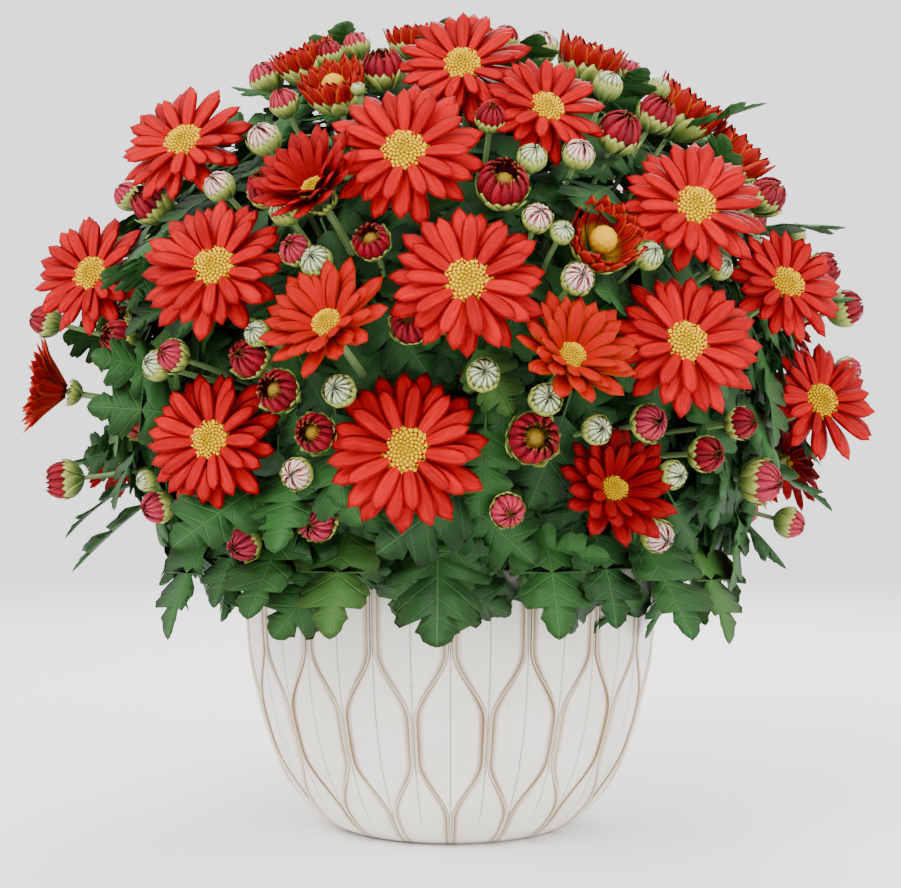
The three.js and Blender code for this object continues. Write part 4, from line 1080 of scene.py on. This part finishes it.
def bud_skin():
    """Pale green when young, then white, pink and crimson, with streaks towards the top."""
    tree = Skin("bud petal", Roughness=0.55, Subsurface_Weight=0.05, Subsurface_Scale=0.0015,
                Specular_IOR_Level=0.15)
    along, across = tree.uv()
    edge = tree.maths("ABSOLUTE", across - 0.5) * 2
    ripe = tree.attribute("ripe")
    young = tree.painted(
        (0.15, 0.25, 0.05),
        (tree.step(along, 0.35, 0.85), (0.60, 0.62, 0.40)),
        (tree.step(edge, 0.2, 0.7) * 0.6, (0.09, 0.19, 0.035)))
    pale = tree.painted(
        (0.30, 0.38, 0.08),
        (tree.step(along, 0.3, 0.6), (0.66, 0.50, 0.42)),
        (tree.step(edge, 0.2, 0.8) * tree.step(along, 0.45, 0.8), (0.36, 0.02, 0.04)))
    full = tree.painted(
        (0.13, 0.0, 0.006),
        (tree.attribute("tint"), (0.27, 0.001, 0.012)),
        ((1 - tree.step(ripe, 2.2, 2.8)) * 0.55, (0.50, 0.035, 0.075)),
        # Painted shade: the petal edges darken towards black where the wrapped petals meet.
        ((1 - tree.step(along, 0.2, 0.45)) * 0.9, (0.45, 0.36, 0.02)),
        (tree.step(edge, 0.75, 1) * 0.6, (0.10, 0.0, 0.003)),
        (tree.step(along, 0.93, 1) * 0.5, (0.55, 0.26, 0.03)))
    cup = tree.painted(
        (0.26, 0.0006, 0.0),
        (tree.step(edge, 0.55, 0.95), (0.52, 0.04, 0.002)),
        (1 - tree.step(along, 0.25, 0.5), (0.50, 0.27, 0.002)))
    colour = tree.painted(
        young,
        (tree.step(ripe, 0.4, 0.9), pale),
        (tree.step(ripe, 1.2, 1.8), full),
        (tree.step(ripe, 4.2, 4.8), cup))
    return tree.feed(Base_Color=colour, Normal=tree.bump(0.4, 0.0004, tree.maths("COSINE", across * 25)))


def ready_heads(name, strips, group):
    """One realized head for each strip shape, in a collection that points pick from."""
    made = []
    for kind, strip in enumerate(strips):
        single = shape_collection(f"strip of {name}", [strip])
        made.append(grown(f"{kind}_{name}", group, {"Strips": single, "Seed": 7 * kind}))
    return shape_collection(name, made)


bract_strips = [strip_shape(f"bract_{i}", -88, reach, 0.40, 0.01, BRACT_FLARE)
                for i, reach in enumerate(BRACT_REACH)]
petal_strips = [strip_shape(f"bud_petal_{i}", -70, reach, 0.33, 0.035, CUP_FLARE * (i == CUP))
                for i, reach in enumerate(PETAL_REACH)]
bract_whorls = rings_group("Bract whorls", BRACT_COUNT, BRACT_LAYERS, CALYX_HEART)
calyxes = ready_heads("calyx", bract_strips, bract_whorls)
bud_balls = ready_heads("bud", petal_strips, rings_group("Bud whorls", BUD_PETALS, BUD_LAYERS, BUD_HEART))
on_stems = heads_group()
bract_material = bract_skin()
bud_material = bud_skin()
for cutting in range(CUTTINGS):
    own_buds = [head for head in bud_heads if cutting_of(head["core"]) == cutting]
    own_blooms = [head for head in heads if cutting_of(head["core"]) == cutting]
    faces = [head["face"] for head in own_buds]
    sizes = [head["width"] * MM for head in own_buds]
    kinds = [float(head["kind"]) for head in own_buds]
    spots = point_object("bud spots", [head["core"] for head in own_buds], face=faces, size=sizes, kind=kinds)
    balls = grown(f"cutting_{cutting + 1}_buds", on_stems, {
        "Heads": bud_balls, "Seed": cutting, "Material": bud_material}, spots.data)
    dressed(balls, "petals", f"leafy_stem_{cutting + 1}")
    places = [head["core"] for head in own_buds] + [
        head["core"] - head["face"] * (CALYX_DROP * head["width"]) for head in own_blooms]
    spots = point_object(
        "calyx spots", places, face=faces + [head["face"] for head in own_blooms],
        size=sizes + [CALYX_SIZE * MM] * len(own_blooms), kind=kinds + [float(BLOOM_CALYX)] * len(own_blooms))
    cups = grown(f"cutting_{cutting + 1}_calyxes", on_stems, {
        "Heads": calyxes, "Seed": cutting, "Material": bract_material}, spots.data)
    dressed(cups, "foliage", f"leafy_stem_{cutting + 1}")

# Blooms: whorls of long red petals, each with fine lengthwise grooves and a drooping tip,
# round a domed disc of tiny florets, of which the outer ones are open. They are set in
# their whorls and spirals by Geometry Nodes, on the places of the frame's own blooms.
PETAL_ROWS = 7
PETAL_COLUMNS = 4
PETAL_WIDTH = 0.31
PETAL_THICKNESS = 0.012
PETAL_FORMS = [(0.05, -0.10, 0.0), (0.02, -0.16, 0.10), (0.07, -0.06, -0.10)]
PETALS_PER_WHORL = 11
OPEN_LIFT = 5
REACH_SHARE = 1.12
HALF_OPEN_REACH = 23
BARELY_OPEN_REACH = 19.3
BARELY_OPEN_WIDTH = 32
DISC_SHARE = 0.152
DISC_RISE = 2.448
DISC_BASE = 1.6
HALF_OPEN_DISC = 5.2
HALF_OPEN_BASE = 4.1
PETAL_START = 0.45
PETAL_FOOT = 0.34
PETAL_WIDEST = 0.62
# Each whorl's share of the reach, its added lift in degrees and its height.
WHORLS = [(1.0, -3, 0.2), (0.93, 6, 0.9), (0.80, 15, 1.6)]
# How orange (above 0) or how dark (below 0) the half-open blooms are.
WARMTH = {"cupped_bloom_1": -0.6, "cupped_bloom_2": 0.4, "cupped_bloom_3": 0.65, "cupped_bloom_4": -0.8,
          "cupped_bloom_5": 0.6}
# A floret's sides and its rings: radius, height and the star that every other point draws in.
CLOSED_FLORET = (5, [(0.36, -0.2, 1), (0.42, 0.35, 1), (0.12, 0.7, 1)])
OPEN_FLORET = (8, [(0.24, -0.2, 1), (0.62, 0.85, 0.55), (0.28, 0.7, 0.7), (0.08, 0.95, 1)])
FLORETS = 115
GOLDEN_TURN = math.pi * (3 - math.sqrt(5))


def petal_shape(number, arch, droop, twist):
    """A closed petal of length 1."""
    def at(t, v, sheet, rim):
        wide = PETAL_FOOT + (1 - PETAL_FOOT) * math.sin(min(t / PETAL_WIDEST, 1) * math.pi / 2)
        if t > PETAL_WIDEST:
            wide *= (1 - ((t - PETAL_WIDEST) / (1 - PETAL_WIDEST)) ** 2.3) ** 0.62 if t < 1 else 0
        y = v * PETAL_WIDTH / 2 * wide
        z = arch * math.sin(math.pi * t) + droop * max(t - 0.45, 0) ** 2 * 2 + twist * y * t
        z -= 0.10 * PETAL_WIDTH * wide * (v * v - 0.22 * math.cos(3 * math.pi * v))
        return t, y, z if rim else z + sheet * PETAL_THICKNESS / 2

    return blade(f"petal_{number}", PETAL_ROWS, PETAL_COLUMNS, at, ALONG_FIRST, pointed=True)


def petal_skin():
    tree = Skin("red petal", Subsurface_Weight=0.05, Subsurface_Scale=0.0015, Specular_IOR_Level=0.06)
    along, across = tree.uv()
    edge = tree.maths("ABSOLUTE", across - 0.5) * 2
    tint = tree.attribute("tint")
    warm = tree.attribute("warm")
    streaks = tree.noise(tree.point(along * 2.5, across * 22, tint * 40), 1, 3)
    clouds = tree.noise(tree.point(along * 3, across * 3, tint * 40), 1, 2)
    red = tree.painted(
        (0.25, 0.0, 0.0015),
        (tint, (0.42, 0.0, 0.003)),
        (tree.step(streaks, 0.40, 0.7) * 0.45, (0.13, 0.0, 0.0)),
        (tree.step(clouds, 0.45, 0.75) * 0.35, (0.58, 0.001, 0.006)),
        (tree.step(edge, 0.8, 1) * 0.35, (0.66, 0.010, 0.020)),
        ((1 - tree.step(along, 0, 0.25)) * 0.5, (0.10, 0.0, 0.0)))
    orange = tree.painted(
        (0.30, 0.002, 0.0),
        (tree.step(edge, 0.55, 0.95), (0.55, 0.055, 0.002)),
        (tree.step(streaks, 0.4, 0.7) * 0.5, (0.40, 0.014, 0.0)))
    colour = tree.painted(
        red, (tree.step(warm, 0, 1), orange), (tree.step(0 - warm, 0, 1) * 0.75, (0.13, 0.0, 0.001)))
    grooves = tree.maths("COSINE", (across - 0.5) * 6 * math.pi)
    bump = tree.bump(0.45, 0.0005, 0.5 * grooves + streaks)
    return tree.feed(Base_Color=colour, Roughness=0.42 + 0.16 * clouds, Normal=bump)


def stood(tree, source, geometry):
    """The finished group of a bloom or disc, moved to its place and turned to its facing."""
    there = tree.geometry(
        "Transform", Geometry=geometry, Translation=source["Place"], Rotation=source["Facing"])
    return closed(tree, there, source["Material"])


def bloom_group(whorls):
    """Petals in whorls: each whorl's share of the reach, its added lift and its height."""
    tree, source = geometry_group(
        "Bloom", Petals="Collection", Count="Int", Reach="Float", Start="Float", Lift="Float", Spin="Float",
        Seed="Int", Place="Vector", Facing="Vector", Warmth="Float", Material="Material")
    rings = []
    for layer, (share, lift, height) in enumerate(whorls):
        spin = source["Spin"] + tree.maths("DIVIDE", layer * math.pi, source["Count"]) + layer * 0.07
        rings.append(whorl(
            tree, source["Petals"], source["Count"], spin, source["Lift"] + math.radians(lift),
            source["Reach"] * share, height * MM, source["Start"], source["Seed"] + 10 * layer))
    real = tree.geometry("RealizeInstances", Geometry=tree.joined(*rings))
    return stood(tree, source, tree.stored(real, "warm", source["Warmth"]))


def floret_shape(name, sides, rings):
    """A floret of length 1 as rings of points round the Z axis."""
    points, uvs = [], []
    for radius, height, star in rings:
        for s in range(sides):
            a = 2 * math.pi * s / sides
            r = radius * (star if s % 2 else 1)
            points.append((r * math.cos(a), r * math.sin(a), height))
            uvs.append((height, 0.5))
    return shaped(name, points, uvs, ring_faces(len(rings), sides))


def floret_skin():
    tree = Skin("floret", Roughness=0.9, Specular_IOR_Level=0.0)
    ring = tree.attribute("ring")
    tint = tree.attribute("tint")
    height, _ = tree.uv()
    yellow = tree.painted(
        (0.36, 0.27, 0.0),
        (tree.step(ring, 0.1, 0.5), (0.66, 0.42, 0.0)),
        (tint * 0.4, (0.80, 0.56, 0.0)),
        ((1 - tree.step(height, 0.1, 0.7)) * 0.5, (0.34, 0.13, 0.0)),
        (tree.step(ring, 0.86, 0.97) * tree.step(tint, 0.3, 0.9) * 0.6, (0.50, 0.13, 0.0)))
    return tree.feed(Base_Color=yellow)


def disc_group():
    """Florets in a golden spiral over a low dome with a dimple, on a solid dome."""
    tree, source = geometry_group(
        "Disc", Florets="Collection", Count="Int", Radius="Float", Rise="Float", Base="Float",
        Place="Vector", Facing="Vector", Material="Material")
    index = tree.geometry("InputIndex")
    share = ((index + 0.5) / source["Count"]) ** 0.5
    turn = index * GOLDEN_TURN
    dimple = (1 - tree.step(share, 0, 0.4)) * 0.22
    height = source["Base"] + source["Rise"] * (1 - share ** 2.4 - dimple)
    spot = tree.point(tree.maths("COSINE", turn) * share * source["Radius"],
                      tree.maths("SINE", turn) * share * source["Radius"], height)
    points = tree.geometry("Points", Count=source["Count"])
    points = tree.stored(tree.geometry("SetPosition", Geometry=points, Position=spot), "ring", share)
    rotation = tree.point(tree.chance(-0.12, 0.12, 1), share * 0.85 + tree.chance(-0.12, 0.12, 2), turn)
    outer = tree.maths("GREATER_THAN", share + tree.chance(-0.04, 0.04, 3), 0.78)
    open_ones = tree.node("FunctionNodeFloatToInt", {}, {"Float": outer})
    size = source["Radius"] * (0.17 + 0.05 * share) * tree.chance(0.9, 1.1, 4)
    florets = planted(tree, points, source["Florets"], rotation, size, open_ones, 5)
    ball = tree.geometry("MeshUVSphere", Segments=20, Rings=10, Radius=1)
    low = tree.point(source["Radius"] * 0.95, source["Radius"] * 0.95, source["Rise"] * 0.8)
    ball = tree.geometry("Transform", Geometry=ball, Translation=tree.point(0, 0, source["Base"]), Scale=low)
    both = tree.joined(florets, tree.stored(ball, "ring", 0.5))
    return stood(tree, source, tree.geometry("RealizeInstances", Geometry=both))


def facing_turn(face):
    """Euler angles that turn +Z to a head's facing."""
    return Vector(face).to_track_quat("Z", "Y").to_euler()[:]


petals = shape_collection("petals", [petal_shape(i, *form) for i, form in enumerate(PETAL_FORMS)])
florets = shape_collection("florets", [
    floret_shape("0_closed_floret", *CLOSED_FLORET), floret_shape("1_open_floret", *OPEN_FLORET)])
open_whorls = bloom_group(WHORLS)
disc_shape = disc_group()
petal_material = petal_skin()
floret_material = floret_skin()

made = {}
for number, head in enumerate(heads):
    width = head["width"]
    reach, lift, disc, base = width / 2, OPEN_LIFT, DISC_SHARE * width, DISC_BASE
    if not head["opened"]:
        reach = HALF_OPEN_REACH if width > BARELY_OPEN_WIDTH else BARELY_OPEN_REACH
        lift = math.degrees(math.acos(min(width / 2 / reach, 1)))
        disc, base = HALF_OPEN_DISC, HALF_OPEN_BASE
    start = PETAL_START * disc
    shared = {"Place": (head["core"] * MM)[:], "Facing": facing_turn(head["face"])}
    made.setdefault(head["node"], []).append(grown("rays", open_whorls, {
        **shared, "Petals": petals, "Count": PETALS_PER_WHORL, "Reach": (REACH_SHARE * reach - start) * MM,
        "Start": start * MM, "Lift": math.radians(lift), "Spin": random.uniform(0, 6), "Seed": 31 * number,
        "Warmth": WARMTH.get(head["node"], 0.0), "Material": petal_material}))
    made.setdefault(head["disc"] or head["node"] + " disc", []).append(grown("florets", disc_shape, {
        **shared, "Florets": florets, "Count": FLORETS, "Radius": disc * MM, "Rise": DISC_RISE * MM,
        "Base": base * MM, "Material": floret_material}))


def as_one(name, pieces):
    """Several finished meshes as one object, for heads that share a node."""
    if len(pieces) > 1:
        for piece in pieces:
            scene.collection.objects.link(piece)
        with bpy.context.temp_override(active_object=pieces[0], selected_editable_objects=pieces):
            bpy.ops.object.join()
        scene.collection.objects.unlink(pieces[0])
    pieces[0].name = pieces[0].data.name = name
    return pieces[0]


for node, pieces in made.items():
    kind = "florets" if "disc" in node else "rays"
    stands_for = node.replace(" disc", "")
    name = f"{stands_for.replace('_petals', '').replace('_disc', '')}_{kind}"
    dressed(as_one(name, pieces), "disc" if kind == "florets" else "petals", stands_for)
